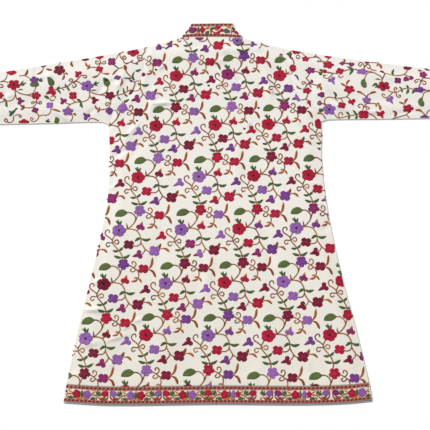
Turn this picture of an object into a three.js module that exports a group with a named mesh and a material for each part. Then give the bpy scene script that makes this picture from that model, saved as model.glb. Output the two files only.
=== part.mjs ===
import * as THREE from 'three';

// A long jacket with a stand collar, laid flat face down, so that its back is on top.
// Millimetres: +X to the right seen from above, +Y towards the collar, +Z up, floor at z = 0.
// Left and right are the wearer's, which lie left and right here too.

const WALL = 1.5; // embroidered cloth
const SEAM = 0.3; // gap between two pieces where they are sewn
const EDGE_SOFTNESS = 42; // how far in from an outline the upper layer has risen fully
const RISE = 3; // how far the upper layer then stands off the lower one
const BAND_HEIGHT = 41; // embroidered border along the hem, with its two braids
const BRAID_WIDTH = 8;
const BRAID_THICK = 1.1; // at its middle
const BRAID_EDGE = 0.65; // and along both edges
const BRAID_PRESSED = 0.9; // the braids that the jacket lies on
const FRONT_DROP = 5; // the fronts reach this far below the back's hem
const UNDERARM_Y = 229;
const CUFF_UPPER_X = 742; // how far out each cuff lies along the sleeve's fold
const CUFF_LOWER_X = 733; // and along its underarm seam
const NECK_HALF = 82; // half the width of the neckline, between the collar's fold lines
const FRONT_NECK_Y = 390; // where the neckline meets the front edges
const FRONT_GAP = 0.5; // each front edge stays this far from the centre line
const COLLAR_TOP_HALF = 53; // half the collar's upper edge between its fold lines
const COLLAR_TOP_Y = 509.6;
const COLLAR_HEIGHT = 37; // at the front edges

const FRONT_LIFT = BRAID_PRESSED + SEAM; // the cloth of the fronts over the braids under it
const LAYER_GAP = WALL + SEAM; // from the lower layer's underside to the upper layer's
const LIFT_BLEND = 26; // how far the cloth takes to come down beside a braid
const LIFT_REACH = 14; // the upper layer comes down this much further out
const COLLAR_SETTLE = 40; // the back comes down from the collar's height over this length
const COLLAR_FOLD_RADIUS = 1.15; // to the middle of the cloth
const COLLAR_LOW_Z = FRONT_LIFT + WALL / 2;
const COLLAR_HIGH_Z = COLLAR_LOW_Z + 2 * COLLAR_FOLD_RADIUS;
const NECK_EXTRA = COLLAR_HIGH_Z - WALL / 2 - LAYER_GAP - FRONT_LIFT; // lifts the back to the collar

// Side seams: how far left and right they lie at each height.
const SIDES = [
  { y: -512, left: -394, right: 395 },
  { y: -440, left: -383, right: 385 },
  { y: -320, left: -359, right: 361 },
  { y: -200, left: -331, right: 333 },
  { y: -80, left: -303, right: 310 },
  { y: 30, left: -284, right: 294.5 },
  { y: 130, left: -278.5, right: 288 },
  { y: 190, left: -280, right: 290.5 },
  { y: UNDERARM_Y, left: -281, right: 291 },
];

// Lower edge of the back's border.
const HEM = [
  { x: -394, y: -492 },
  { x: -273, y: -500.5 },
  { x: 0, y: -502 },
  { x: 210, y: -506.3 },
  { x: 324, y: -505 },
  { x: 395, y: -499.5 },
];

// Upper edge of the whole jacket, from the left cuff over the shoulders to the right cuff.
const TOP_EDGE = [
  { x: -742, y: 355 },
  { x: -575, y: 381 },
  { x: -381, y: 411 },
  { x: -177, y: 447 },
  { x: -85, y: 470 },
  { x: 0, y: 472 },
  { x: 84, y: 466 },
  { x: 197, y: 437 },
  { x: 385, y: 403 },
  { x: 589, y: 373 },
  { x: 742, y: 350 },
];

// Lower edge of each sleeve, from the cuff to the underarm.
const SLEEVE_LOWER = {
  left: [
    { x: -742, y: 234 },
    { x: -572, y: 234.5 },
    { x: -438, y: 235.2 },
    { x: -302, y: 236.5 },
    { x: -281, y: UNDERARM_Y },
  ],
  right: [
    { x: 291, y: UNDERARM_Y },
    { x: 309, y: 234 },
    { x: 447, y: 234 },
    { x: 582, y: 234.2 },
    { x: 742, y: 234 },
  ],
};

// Armhole seams from the underarm to the shoulder.
const ARMHOLES = {
  left: [
    { x: -281, y: UNDERARM_Y },
    { x: -266, y: 268 },
    { x: -232, y: 303 },
    { x: -206, y: 334 },
    { x: -191, y: 376 },
    { x: -177, y: 447 },
  ],
  right: [
    { x: 291, y: UNDERARM_Y },
    { x: 275, y: 258 },
    { x: 245, y: 281 },
    { x: 222, y: 317 },
    { x: 209, y: 366 },
    { x: 197, y: 437 },
  ],
};

// Largest folds of the upper layer: middle, direction in degrees, length, half width and
// height, below zero for a trough.
const FOLDS = [
  { x: -62, y: -330, turn: 80, length: 330, width: 38, height: -1.8 },
  { x: 62, y: -390, turn: 97, length: 280, width: 36, height: -1.6 },
  { x: -232, y: -350, turn: 74, length: 300, width: 34, height: -1.4 },
  { x: 205, y: -360, turn: 101, length: 300, width: 34, height: -1.5 },
  { x: -140, y: -360, turn: 78, length: 280, width: 36, height: 1.2 },
  { x: 130, y: -350, turn: 96, length: 260, width: 36, height: 1.1 },
  { x: 318, y: -240, turn: 106, length: 420, width: 24, height: 1.1 },
  { x: -224, y: 196, turn: 38, length: 150, width: 14, height: 1.3 },
  { x: -205, y: 160, turn: 52, length: 170, width: 14, height: -1.3 },
  { x: 236, y: 190, turn: 140, length: 150, width: 14, height: 1.2 },
  { x: 214, y: 152, turn: 128, length: 160, width: 15, height: -1.3 },
  { x: 176, y: 372, turn: 104, length: 170, width: 20, height: -1.9 },
  { x: -150, y: 352, turn: 82, length: 180, width: 22, height: -1.3 },
  { x: 22, y: 384, turn: 4, length: 190, width: 17, height: -1.4 },
  { x: -72, y: 420, turn: -24, length: 120, width: 13, height: 1.0 },
  { x: -400, y: 352, turn: 12, length: 320, width: 17, height: 1.3 },
  { x: -470, y: 292, turn: 5, length: 360, width: 16, height: -1.7 },
  { x: -640, y: 318, turn: 7, length: 220, width: 17, height: 1.2 },
  { x: 330, y: 318, turn: -22, length: 210, width: 18, height: 1.4 },
  { x: 455, y: 288, turn: -7, length: 330, width: 16, height: -1.6 },
  { x: 600, y: 322, turn: -8, length: 260, width: 17, height: 1.2 },
];

const CLOTH = { color: 0xe9e4d8, roughness: 0.72, metalness: 0 };
const BORDER = { color: 0xdfd0c2, roughness: 0.78, metalness: 0 };
const TRIM = { color: 0x8c3a42, roughness: 0.7, metalness: 0 };

const mix = (a, b, share) => a + (b - a) * share;
const clamp = (value) => Math.min(Math.max(value, 0), 1);
const mixPoints = (a, b, share) => ({ x: mix(a.x, b.x, share), y: mix(a.y, b.y, share) });
const steps = (count) => Array.from({ length: count + 1 }, (_, i) => i / count);

function ease(value) {
  const t = clamp(value);
  return t * t * (3 - 2 * t);
}

// A smooth curve through a table's rows: gives the column `value` for any `key`.
function through(rows, key, value) {
  const slope = (i) => {
    const before = rows[Math.max(i - 1, 0)];
    const after = rows[Math.min(i + 1, rows.length - 1)];
    return (after[value] - before[value]) / (after[key] - before[key]);
  };
  return (at) => {
    let i = 0;
    while (i < rows.length - 2 && at > rows[i + 1][key]) i += 1;
    const span = rows[i + 1][key] - rows[i][key];
    const t = clamp((at - rows[i][key]) / span);
    const bend = ease(t);
    const start = t * (1 - t) * (1 - t) * span * slope(i);
    const end = t * t * (t - 1) * span * slope(i + 1);
    return mix(rows[i][value], rows[i + 1][value], bend) + start + end;
  };
}

const sideX = { left: through(SIDES, 'y', 'left'), right: through(SIDES, 'y', 'right') };
const hemY = through(HEM, 'x', 'y');
const topY = through(TOP_EDGE, 'x', 'y');
const sleeveLowerY = {
  left: through(SLEEVE_LOWER.left, 'x', 'y'),
  right: through(SLEEVE_LOWER.right, 'x', 'y'),
};

function armholeCurve(side) {
  const points = ARMHOLES[side].map(({ x, y }) => new THREE.Vector3(x, y, 0));
  return new THREE.CatmullRomCurve3(points, false, 'centripetal');
}

const armhole = { left: armholeCurve('left'), right: armholeCurve('right') };

// How far a point lies inside the jacket's outline.
function insideBy(x, y) {
  const toTop = topY(x) - y;
  const toHem = y - hemY(x);
  const sides = ['left', 'right'].map((side) => {
    const outward = side === 'left' ? -1 : 1;
    const underarm = ARMHOLES[side][0];
    if (outward * (x - underarm.x) > 0 && y > UNDERARM_Y - EDGE_SOFTNESS) {
      return y - sleeveLowerY[side](x);
    }
    if (y > UNDERARM_Y) return Math.hypot(x - underarm.x, y - UNDERARM_Y);
    return outward * (sideX[side](y) - x);
  });
  return Math.max(Math.min(toTop, toHem, ...sides), 0);
}

function foldHeight(x, y) {
  let height = 0;
  for (const fold of FOLDS) {
    const turn = THREE.MathUtils.degToRad(fold.turn);
    const along = (x - fold.x) * Math.cos(turn) + (y - fold.y) * Math.sin(turn);
    const across = (y - fold.y) * Math.cos(turn) - (x - fold.x) * Math.sin(turn);
    const fade = ease(1 - Math.abs(along) / (fold.length / 2));
    height += fold.height * fade * Math.exp(-((across / fold.width) ** 2));
  }
  return height;
}

const neckY = (x) => topY(Math.sign(x) * NECK_HALF);

// Share of the lift that the braids under the fronts give to the cloth above them: all of it
// at the hem and inside the neckline, and for a `reach` beyond them, none elsewhere.
function liftShare(x, y, reach) {
  const overHem = 1 - ease((y - hemY(x) - BAND_HEIGHT - reach) / LIFT_BLEND);
  const base = neckY(x);
  const neck = Math.hypot(x / NECK_HALF, Math.min(y - base, 0) / (base - FRONT_NECK_Y));
  const overNeck = 1 - ease(((neck - 1) * NECK_HALF - reach) / LIFT_BLEND);
  return Math.max(overHem, overNeck);
}

// Underside of the cloth in each layer.
const frontZ = (x, y) => FRONT_LIFT * liftShare(x, y, 0);

function backZ(x, y) {
  const inside = insideBy(x, y);
  const loose = RISE * ease(inside / EDGE_SOFTNESS);
  const folded = foldHeight(x, y) * ease(inside / EDGE_SOFTNESS);
  const belowCollar = ease(1 - (topY(x) - y) / COLLAR_SETTLE);
  const nearCollar = belowCollar * ease((NECK_HALF + LIFT_BLEND - Math.abs(x)) / LIFT_BLEND);
  const lift = FRONT_LIFT * liftShare(x, y, LIFT_REACH);
  return lift + LAYER_GAP + Math.max(loose + folded, 0) + NECK_EXTRA * nearCollar;
}

const raised = (height, by) => (x, y) => height(x, y) + by;

// Turns indexed points into a mesh whose faces point outwards.
function closedMesh(name, points, faces, finish) {
  let volume = 0;
  const corner = [new THREE.Vector3(), new THREE.Vector3(), new THREE.Vector3()];
  for (let i = 0; i < faces.length; i += 3) {
    corner.forEach((vector, k) => vector.fromArray(points, faces[i + k] * 3));
    volume += corner[0].dot(corner[1].cross(corner[2]));
  }
  if (volume < 0) faces.reverse();
  const geometry = new THREE.BufferGeometry();
  geometry.setAttribute('position', new THREE.Float32BufferAttribute(points, 3));
  geometry.setIndex(faces);
  geometry.computeVertexNormals();
  const mesh = new THREE.Mesh(geometry, new THREE.MeshStandardMaterial(finish));
  mesh.name = name;
  return mesh;
}

function addQuad(faces, a, b, c, d) {
  faces.push(a, b, c, a, c, d);
}

// A wall of cloth: `plan` gives its place for each share across and along, `under` and
// `over` the heights of its two faces there.
function sheet(name, plan, across, along, under, over, finish) {
  const points = [];
  for (const height of [under, over]) {
    for (const v of along) {
      for (const u of across) {
        const { x, y } = plan(u, v);
        points.push(x, y, height(x, y));
      }
    }
  }
  const lastRow = along.length - 1;
  const lastColumn = across.length - 1;
  const at = (face, row, column) => (face * along.length + row) * across.length + column;
  const faces = [];
  for (let row = 0; row < lastRow; row += 1) {
    for (let column = 0; column < lastColumn; column += 1) {
      for (const face of [0, 1]) {
        const ring = [
          at(face, row, column),
          at(face, row, column + 1),
          at(face, row + 1, column + 1),
          at(face, row + 1, column),
        ];
        if (face === 0) ring.reverse();
        addQuad(faces, ...ring);
      }
    }
    addQuad(faces, at(0, row + 1, 0), at(0, row, 0), at(1, row, 0), at(1, row + 1, 0));
    addQuad(faces, at(0, row, lastColumn), at(0, row + 1, lastColumn),
      at(1, row + 1, lastColumn), at(1, row, lastColumn));
  }
  for (let column = 0; column < lastColumn; column += 1) {
    addQuad(faces, at(0, 0, column), at(0, 0, column + 1), at(1, 0, column + 1), at(1, 0, column));
    addQuad(faces, at(0, lastRow, column + 1), at(0, lastRow, column),
      at(1, lastRow, column), at(1, lastRow, column + 1));
  }
  return closedMesh(name, points, faces, finish);
}

// The plan of a panel between four edges, each a curve over a share from 0 to 1.
function panelPlan(start, end, bottom, top) {
  return (u, v) => {
    const sides = mixPoints(start(v), end(v), u);
    const rows = mixPoints(bottom(u), top(u), v);
    const corners = mixPoints(mixPoints(bottom(0), bottom(1), u), mixPoints(top(0), top(1), u), v);
    return { x: sides.x + rows.x - corners.x, y: sides.y + rows.y - corners.y };
  };
}

// Rows of the panels: two close to the border, where the cloth comes down off the braid, then
// up the side seam, and closer together along the armhole.
const SIDE_SHARE = 0.75;
const BORDER_ROWS = [0, 0.02];
const LAST_BORDER_ROW = 0.042;
const ARMHOLE_ROWS = [0, 0.04, 0.13, 0.24, 0.36, 0.48, 0.6, 0.72, 0.84, 0.95, 1];

function panelRows(sideRows) {
  const onSide = [...BORDER_ROWS, ...steps(sideRows).map((t) => mix(LAST_BORDER_ROW, 1, t))];
  const onArmhole = ARMHOLE_ROWS.slice(1).map((t) => mix(SIDE_SHARE, 1, t));
  return [...onSide.map((t) => SIDE_SHARE * t), ...onArmhole];
}

// A point on a side seam and armhole, with v from the top of the border to the shoulder.
function outerEdge(side) {
  const lowest = hemY(sideX[side](HEM[0].y)) + BAND_HEIGHT + SEAM;
  return (v) => {
    if (v >= SIDE_SHARE) return armhole[side].getPoint((v - SIDE_SHARE) / (1 - SIDE_SHARE));
    const y = mix(lowest, UNDERARM_Y, v / SIDE_SHARE);
    return { x: sideX[side](y), y };
  };
}

// A point a given height above the hem, with u from one edge of a piece to the other.
function overHem(fromX, toX, height) {
  return (u) => {
    const x = mix(fromX(height), toX(height), u);
    return { x, y: hemY(x) + height };
  };
}

const hemSideX = (side) => (height) => sideX[side](hemY(sideX[side](HEM[0].y)) + height);
const frontEdgeX = (side) => () => (side === 'left' ? -FRONT_GAP : FRONT_GAP);

const BACK_COLUMNS = steps(28);
const NECKLINE_STEPS = 7; // along each front neckline, and as many along the shoulder
const FRONT_COLUMNS = steps(2 * NECKLINE_STEPS);

function backPanel() {
  const left = armhole.left.getPoint(1);
  const right = armhole.right.getPoint(1);
  const top = (u) => {
    const x = mix(left.x, right.x, u);
    return { x, y: topY(x) };
  };
  const bottom = overHem(hemSideX('left'), hemSideX('right'), BAND_HEIGHT + SEAM);
  const plan = panelPlan(outerEdge('left'), outerEdge('right'), bottom, top);
  return sheet('back', plan, BACK_COLUMNS, panelRows(20), backZ, raised(backZ, WALL), CLOTH);
}

// A point on the front neckline: angle 0 at the neck point, a quarter turn at the front edge.
function neckPoint(side, angle, inset) {
  const outward = side === 'left' ? -1 : 1;
  const base = neckY(outward);
  return {
    x: outward * (NECK_HALF - inset) * Math.cos(angle),
    y: base - (base - FRONT_NECK_Y - inset) * Math.sin(angle),
  };
}

const frontEdgeAngle = Math.acos(FRONT_GAP / NECK_HALF);

function frontPanel(side) {
  const shoulder = armhole[side].getPoint(1);
  const neck = neckPoint(side, 0, 0);
  const shoulderShare = 0.5;
  const top = (u) => {
    if (u >= shoulderShare) {
      const angle = frontEdgeAngle * ((u - shoulderShare) / (1 - shoulderShare));
      return neckPoint(side, angle, 0);
    }
    const x = mix(shoulder.x, neck.x, u / shoulderShare);
    return { x, y: topY(x) };
  };
  const bottom = overHem(hemSideX(side), frontEdgeX(side), BAND_HEIGHT + SEAM);
  const frontEdge = (v) => mixPoints(bottom(1), top(1), v);
  const plan = panelPlan(outerEdge(side), frontEdge, bottom, top);
  return sheet(`front_${side}`, plan, FRONT_COLUMNS, panelRows(11), frontZ, raised(frontZ, WALL), CLOTH);
}

// Strips along the hem, between two heights above it.
function hemStrip(name, fromX, toX, columns, rows, under, over, finish) {
  const plan = (u, v) => overHem(fromX, toX, v)(u);
  return sheet(name, plan, columns, rows, under, over, finish);
}

function backHem() {
  const ends = [hemSideX('left'), hemSideX('right')];
  const rows = [0, BRAID_WIDTH / 2, BRAID_WIDTH, BAND_HEIGHT - BRAID_WIDTH,
    BAND_HEIGHT - BRAID_WIDTH / 2, BAND_HEIGHT];
  const surface = raised(backZ, WALL);
  const band = hemStrip('hem_band_back', ...ends, BACK_COLUMNS, rows, backZ, surface, BORDER);
  const braid = (name, heights) => {
    const over = (x, y) => {
      const middle = Math.abs(y - hemY(x) - heights[1]) < BRAID_WIDTH / 4;
      return surface(x, y) + SEAM + (middle ? BRAID_THICK : BRAID_EDGE);
    };
    return hemStrip(name, ...ends, BACK_COLUMNS, heights, raised(surface, SEAM), over, TRIM);
  };
  return [band, braid('hem_braid_back_lower', rows.slice(0, 3)),
    braid('hem_braid_back_upper', rows.slice(3))];
}

function frontHem(side) {
  const ends = [hemSideX(side), frontEdgeX(side)];
  const rows = [-FRONT_DROP, BRAID_WIDTH - FRONT_DROP, BAND_HEIGHT - BRAID_WIDTH, BAND_HEIGHT];
  const floor = () => 0;
  const pressed = () => BRAID_PRESSED;
  const band = hemStrip(`hem_band_front_${side}`, ...ends, FRONT_COLUMNS, rows, frontZ,
    raised(frontZ, WALL), BORDER);
  const lower = hemStrip(`hem_braid_front_${side}_lower`, ...ends, FRONT_COLUMNS,
    rows.slice(0, 2), floor, pressed, TRIM);
  const upper = hemStrip(`hem_braid_front_${side}_upper`, ...ends, FRONT_COLUMNS,
    rows.slice(2), floor, pressed, TRIM);
  return [band, lower, upper];
}

// Joins an outer and an inner ring at each station into a tube with a wall and open ends.
function hollowTube(name, stations, finish) {
  const points = [];
  const count = stations[0].outer.length;
  for (const { outer, inner } of stations) {
    for (const point of [...outer, ...inner]) points.push(point.x, point.y, point.z);
  }
  const at = (station, ring, i) => (station * 2 + ring) * count + (i % count);
  const faces = [];
  const last = stations.length - 1;
  for (let i = 0; i < count; i += 1) {
    for (let s = 0; s < last; s += 1) {
      addQuad(faces, at(s, 0, i), at(s, 0, i + 1), at(s + 1, 0, i + 1), at(s + 1, 0, i));
      addQuad(faces, at(s, 1, i + 1), at(s, 1, i), at(s + 1, 1, i), at(s + 1, 1, i + 1));
    }
    addQuad(faces, at(0, 0, i + 1), at(0, 0, i), at(0, 1, i), at(0, 1, i + 1));
    addQuad(faces, at(last, 0, i), at(last, 0, i + 1), at(last, 1, i + 1), at(last, 1, i));
  }
  return closedMesh(name, points, faces, finish);
}

// A sleeve lies as a flat tube: its lower edge is the underarm seam, its upper edge a fold.
function sleeve(side) {
  const outward = side === 'left' ? -1 : 1;
  const edgeLow = 0.9; // the folded edges are rounded between these heights
  const edgeHigh = 2.7;
  const edgeWall = 2.2;
  const seam = (t) => {
    const point = armhole[side].getPoint(t);
    const tangent = armhole[side].getTangent(t);
    return { x: point.x + outward * tangent.y * SEAM, y: point.y - outward * tangent.x * SEAM };
  };
  const cuffLow = { x: outward * CUFF_LOWER_X, y: sleeveLowerY[side](outward * CUFF_LOWER_X) };
  const cuffTop = { x: outward * CUFF_UPPER_X, y: topY(outward * CUFF_UPPER_X) };
  const lower = (s) => {
    const x = mix(seam(0).x, cuffLow.x, s);
    return { x, y: sleeveLowerY[side](x) };
  };
  const upper = (s) => {
    const x = mix(seam(1).x, cuffTop.x, s);
    return { x, y: topY(x) };
  };
  const cuff = (t) => mixPoints(cuffLow, cuffTop, t);
  const plan = panelPlan(lower, upper, seam, cuff);
  const lastRow = ARMHOLE_ROWS.length - 1;
  const stationAt = (s) => {
    const width = upper(s).y - lower(s).y;
    const ring = (heightAt, edgeInset) => (row) => {
      const isEdge = row === 0 || row === lastRow;
      const inset = isEdge ? (edgeInset / width) * (row === 0 ? 1 : -1) : 0;
      const { x, y } = plan(ARMHOLE_ROWS[row] + inset, s);
      return new THREE.Vector3(x, y, heightAt(x, y, isEdge));
    };
    const rows = ARMHOLE_ROWS.map((_, row) => row);
    const back = [...rows].reverse();
    return {
      outer: [
        ...rows.map(ring((x, y, isEdge) => (isEdge ? edgeLow : 0), 0)),
        ...back.map(ring((x, y, isEdge) => (isEdge ? edgeHigh : backZ(x, y) + WALL), 0)),
      ],
      inner: [
        ...rows.map(ring(() => WALL, edgeWall)),
        ...back.map(ring((x, y, isEdge) => (isEdge ? LAYER_GAP : backZ(x, y)), edgeWall)),
      ],
    };
  };
  const stations = [0, 0.03, 0.08, ...steps(12).slice(2)]; // closer at the armhole
  return hollowTube(`sleeve_${side}`, stations.map(stationAt), CLOTH);
}

// The collar is one band: half of it under the neckline on each side, folded over at the
// neck points, with its back part above the back neckline. A station gives the band's
// lower and upper edge in the middle of the cloth, and the way its outer face looks.
function collarStations() {
  const down = new THREE.Vector3(0, 0, -1);
  const frontHalf = (side) => {
    const outward = side === 'left' ? -1 : 1;
    return steps(NECKLINE_STEPS).slice(1).reverse().map((share) => {
      const angle = frontEdgeAngle * share;
      const base = neckPoint(side, angle, SEAM);
      const depth = COLLAR_TOP_Y - FRONT_NECK_Y - COLLAR_HEIGHT;
      const x = Math.max(COLLAR_TOP_HALF * Math.cos(angle), FRONT_GAP) * outward;
      return {
        base: new THREE.Vector3(base.x, base.y, COLLAR_LOW_Z),
        top: new THREE.Vector3(x, COLLAR_TOP_Y - depth * Math.sin(angle), COLLAR_LOW_Z),
        out: down,
      };
    });
  };
  const fold = (side) => {
    const outward = side === 'left' ? -1 : 1;
    const base = new THREE.Vector3(outward * (NECK_HALF - SEAM), neckY(outward) + SEAM, 0);
    const top = new THREE.Vector3(outward * COLLAR_TOP_HALF, COLLAR_TOP_Y, 0);
    const line = top.clone().sub(base).normalize();
    const aside = new THREE.Vector3(outward * line.y, -outward * line.x, 0);
    return steps(4).map((share) => {
      const turn = Math.PI * share;
      const out = aside.clone().multiplyScalar(Math.sin(turn));
      out.z = -Math.cos(turn);
      const shift = out.clone().multiplyScalar(COLLAR_FOLD_RADIUS);
      shift.z += (COLLAR_LOW_Z + COLLAR_HIGH_Z) / 2;
      return { base: base.clone().add(shift), top: top.clone().add(shift), out };
    });
  };
  const backPart = steps(12).slice(1, -1).map((share) => {
    const x = mix(-1, 1, share) * (NECK_HALF - SEAM);
    const topX = mix(-1, 1, share) * COLLAR_TOP_HALF;
    return {
      base: new THREE.Vector3(x, topY(x) + SEAM, COLLAR_HIGH_Z),
      top: new THREE.Vector3(topX, COLLAR_TOP_Y, COLLAR_HIGH_Z),
      out: new THREE.Vector3(0, 0, 1),
    };
  });
  return [...frontHalf('left'), ...fold('left'), ...backPart,
    ...fold('right').reverse(), ...frontHalf('right').reverse()];
}

// A band along the collar between two shares of its height, from `inner` to `outer` away
// from the middle of the cloth.
function collarStrip(name, stations, shares, inner, outer, finish) {
  const points = [];
  for (const { base, top, out } of stations) {
    for (const offset of [inner, outer]) {
      for (const share of shares) {
        points.push(...base.clone().lerp(top, share).addScaledVector(out, offset).toArray());
      }
    }
  }
  const count = shares.length;
  const at = (station, face, i) => (station * 2 + face) * count + i;
  const faces = [];
  const last = stations.length - 1;
  for (let s = 0; s < last; s += 1) {
    for (let i = 0; i < count - 1; i += 1) {
      addQuad(faces, at(s, 1, i), at(s + 1, 1, i), at(s + 1, 1, i + 1), at(s, 1, i + 1));
      addQuad(faces, at(s, 0, i), at(s, 0, i + 1), at(s + 1, 0, i + 1), at(s + 1, 0, i));
    }
    addQuad(faces, at(s, 0, 0), at(s + 1, 0, 0), at(s + 1, 1, 0), at(s, 1, 0));
    addQuad(faces, at(s, 1, count - 1), at(s + 1, 1, count - 1),
      at(s + 1, 0, count - 1), at(s, 0, count - 1));
  }
  for (let i = 0; i < count - 1; i += 1) {
    addQuad(faces, at(0, 0, i), at(0, 1, i), at(0, 1, i + 1), at(0, 0, i + 1));
    addQuad(faces, at(last, 0, i), at(last, 0, i + 1), at(last, 1, i + 1), at(last, 1, i));
  }
  return closedMesh(name, points, faces, finish);
}

function collar() {
  const stations = collarStations();
  const braidShare = 0.19;
  const face = WALL / 2;
  const braidFoot = face + SEAM;
  const braidTop = braidFoot + BRAID_PRESSED;
  return [
    collarStrip('collar', stations, [0, braidShare, 1 - braidShare, 1], -face, face, BORDER),
    collarStrip('collar_braid_base', stations, [0, braidShare], braidFoot, braidTop, TRIM),
    collarStrip('collar_braid_top', stations, [1 - braidShare, 1], braidFoot, braidTop, TRIM),
  ];
}

const jacket = new THREE.Group();
jacket.name = 'long_jacket';
jacket.add(backPanel(), ...backHem(), ...collar());
for (const side of ['left', 'right']) {
  jacket.add(frontPanel(side), ...frontHem(side), sleeve(side));
}

export default jacket;
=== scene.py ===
import math

import bpy
import numpy as np
from mathutils import Matrix, Vector


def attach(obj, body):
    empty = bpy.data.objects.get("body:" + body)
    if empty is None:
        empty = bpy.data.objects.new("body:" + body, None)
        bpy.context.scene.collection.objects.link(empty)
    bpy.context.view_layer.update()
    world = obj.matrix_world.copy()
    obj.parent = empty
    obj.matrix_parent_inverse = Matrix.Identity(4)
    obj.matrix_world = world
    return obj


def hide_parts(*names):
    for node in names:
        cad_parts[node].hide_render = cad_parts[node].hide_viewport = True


# An embroidered long jacket laid flat face down. Its form is worked out in millimetres,
# as the CAD solids have it, and becomes metres where a mesh is made.
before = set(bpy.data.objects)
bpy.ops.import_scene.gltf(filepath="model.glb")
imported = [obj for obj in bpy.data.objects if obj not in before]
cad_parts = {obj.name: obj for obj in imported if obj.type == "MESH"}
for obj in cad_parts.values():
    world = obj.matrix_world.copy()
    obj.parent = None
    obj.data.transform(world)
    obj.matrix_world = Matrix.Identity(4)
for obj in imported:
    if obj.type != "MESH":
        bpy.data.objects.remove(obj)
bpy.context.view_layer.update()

MM = 0.001
CLOTH_WALL = 0.55
UPPER_CLOTH = 1.0  # outer face of the upper layer, over the CAD wall's underside
UNDER_CLOTH = 0.4  # outer face of the layer that it lies on, over the floor
SEAM_GAP = 0.3  # between neighbouring pieces
RISE = 3.0  # of the upper layer away from the outline
EDGE_SOFTNESS = 42.0  # how far from the outline it has risen
BODY_EDGE, SLEEVE_EDGE, BAND_EDGE = 2.2, 1.45, 0.9  # radii of its rolled edge
CREASE_RISE, CREASE_DEPTH = 4.0, 2.8  # of a crease with height 1 or -1
CREASE_FADE = 14.0  # how far from the outline creases reach their height
GROOVE_DEPTH, ROLL_HEIGHT = 0.7, 0.8  # of the armhole seam and of the cloth beside it
BAND_HEIGHT = 41.0
BRAID_WIDTH = 8.0
BRAID_LIFT = 1.2
FRONT_DROP = 5.0  # of the front borders below the back's
FRONT_EDGE_X = 0.5  # half the gap between the fronts
UNDERARM_Y = 229.0
HEM_CORNER_Y = -492.0
CUFF_X, CUFF_LOW_X = 742.0, 733.0
NECK_HALF = 82.0
FRONT_NECK_Y = 390.0
COLLAR_TOP_HALF = 53.0
COLLAR_TOP_Y = 509.6
COLLAR_HEIGHT = 37.0
COLLAR_LOW_Z, COLLAR_HIGH_Z = 1.95, 4.25  # middle of the collar's two layers
COLLAR_FACE = 0.3  # from there to the cloth's outer face
LIFT_REACH = 14.0

SIDES = {
    "left": [(-512, -394), (-440, -383), (-320, -359), (-200, -331), (-80, -303), (30, -284),
             (130, -278.5), (190, -280), (229, -281)],
    "right": [(-512, 395), (-440, 385), (-320, 361), (-200, 333), (-80, 310), (30, 294.5),
              (130, 288), (190, 290.5), (229, 291)],
}
HEM = [(-394, -492), (-273, -500.5), (0, -502), (210, -506.3), (324, -505), (395, -499.5)]
TOP_EDGE = [(-742, 355), (-575, 381), (-381, 411), (-177, 447), (-85, 470), (0, 472),
            (84, 466), (197, 437), (385, 403), (589, 373), (742, 350)]
SLEEVE_LOWER = {
    "left": [(-742, 234), (-572, 234.5), (-438, 235.2), (-302, 236.5), (-281, 229)],
    "right": [(291, 229), (309, 234), (447, 234), (582, 234.2), (742, 234)],
}
ARMHOLES = {
    "left": [(-281, 229), (-266, 268), (-232, 303), (-206, 334), (-191, 376), (-177, 447)],
    "right": [(291, 229), (275, 258), (245, 281), (222, 317), (209, 366), (197, 437)],
}

# Folds and troughs: middle, direction in degrees, length, half width and height.
FOLDS = [
    (-62, -330, 80, 330, 38, -1.8), (62, -390, 97, 280, 36, -1.6), (-232, -350, 74, 300, 34, -1.4),
    (205, -360, 101, 300, 34, -1.5), (-140, -360, 78, 280, 36, 1.2), (130, -350, 96, 260, 36, 1.1),
    (318, -240, 106, 420, 24, 1.1), (-224, 196, 38, 150, 14, 1.3), (-205, 160, 52, 170, 14, -1.3),
    (236, 190, 140, 150, 14, 1.2), (214, 152, 128, 160, 15, -1.3), (176, 372, 104, 170, 20, -1.9),
    (-150, 352, 82, 180, 22, -1.3), (22, 384, 4, 190, 17, -1.4), (-72, 420, -24, 120, 13, 1.0),
    (-400, 352, 12, 320, 17, 1.3), (-470, 292, 5, 360, 16, -1.7), (-640, 318, 7, 220, 17, 1.2),
    (330, 318, -22, 210, 18, 1.4), (455, 288, -7, 330, 16, -1.6), (600, 322, -8, 260, 17, 1.2),
]


def ease(value):
    t = np.clip(value, 0, 1)
    return t * t * (3 - 2 * t)


def through(points):
    """A smooth curve through (key, value) points, as a function of the key."""
    keys, values = np.array(points, float).T
    before = np.maximum(np.arange(len(keys)) - 1, 0)
    after = np.minimum(np.arange(len(keys)) + 1, len(keys) - 1)
    slopes = (values[after] - values[before]) / (keys[after] - keys[before])

    def at(key):
        i = np.clip(np.searchsorted(keys, key) - 1, 0, len(keys) - 2)
        span = keys[i + 1] - keys[i]
        t = np.clip((key - keys[i]) / span, 0, 1)
        bent = t * (1 - t) ** 2 * slopes[i] + t * t * (t - 1) * slopes[i + 1]
        return values[i] + (values[i + 1] - values[i]) * ease(t) + span * bent

    return at


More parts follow.
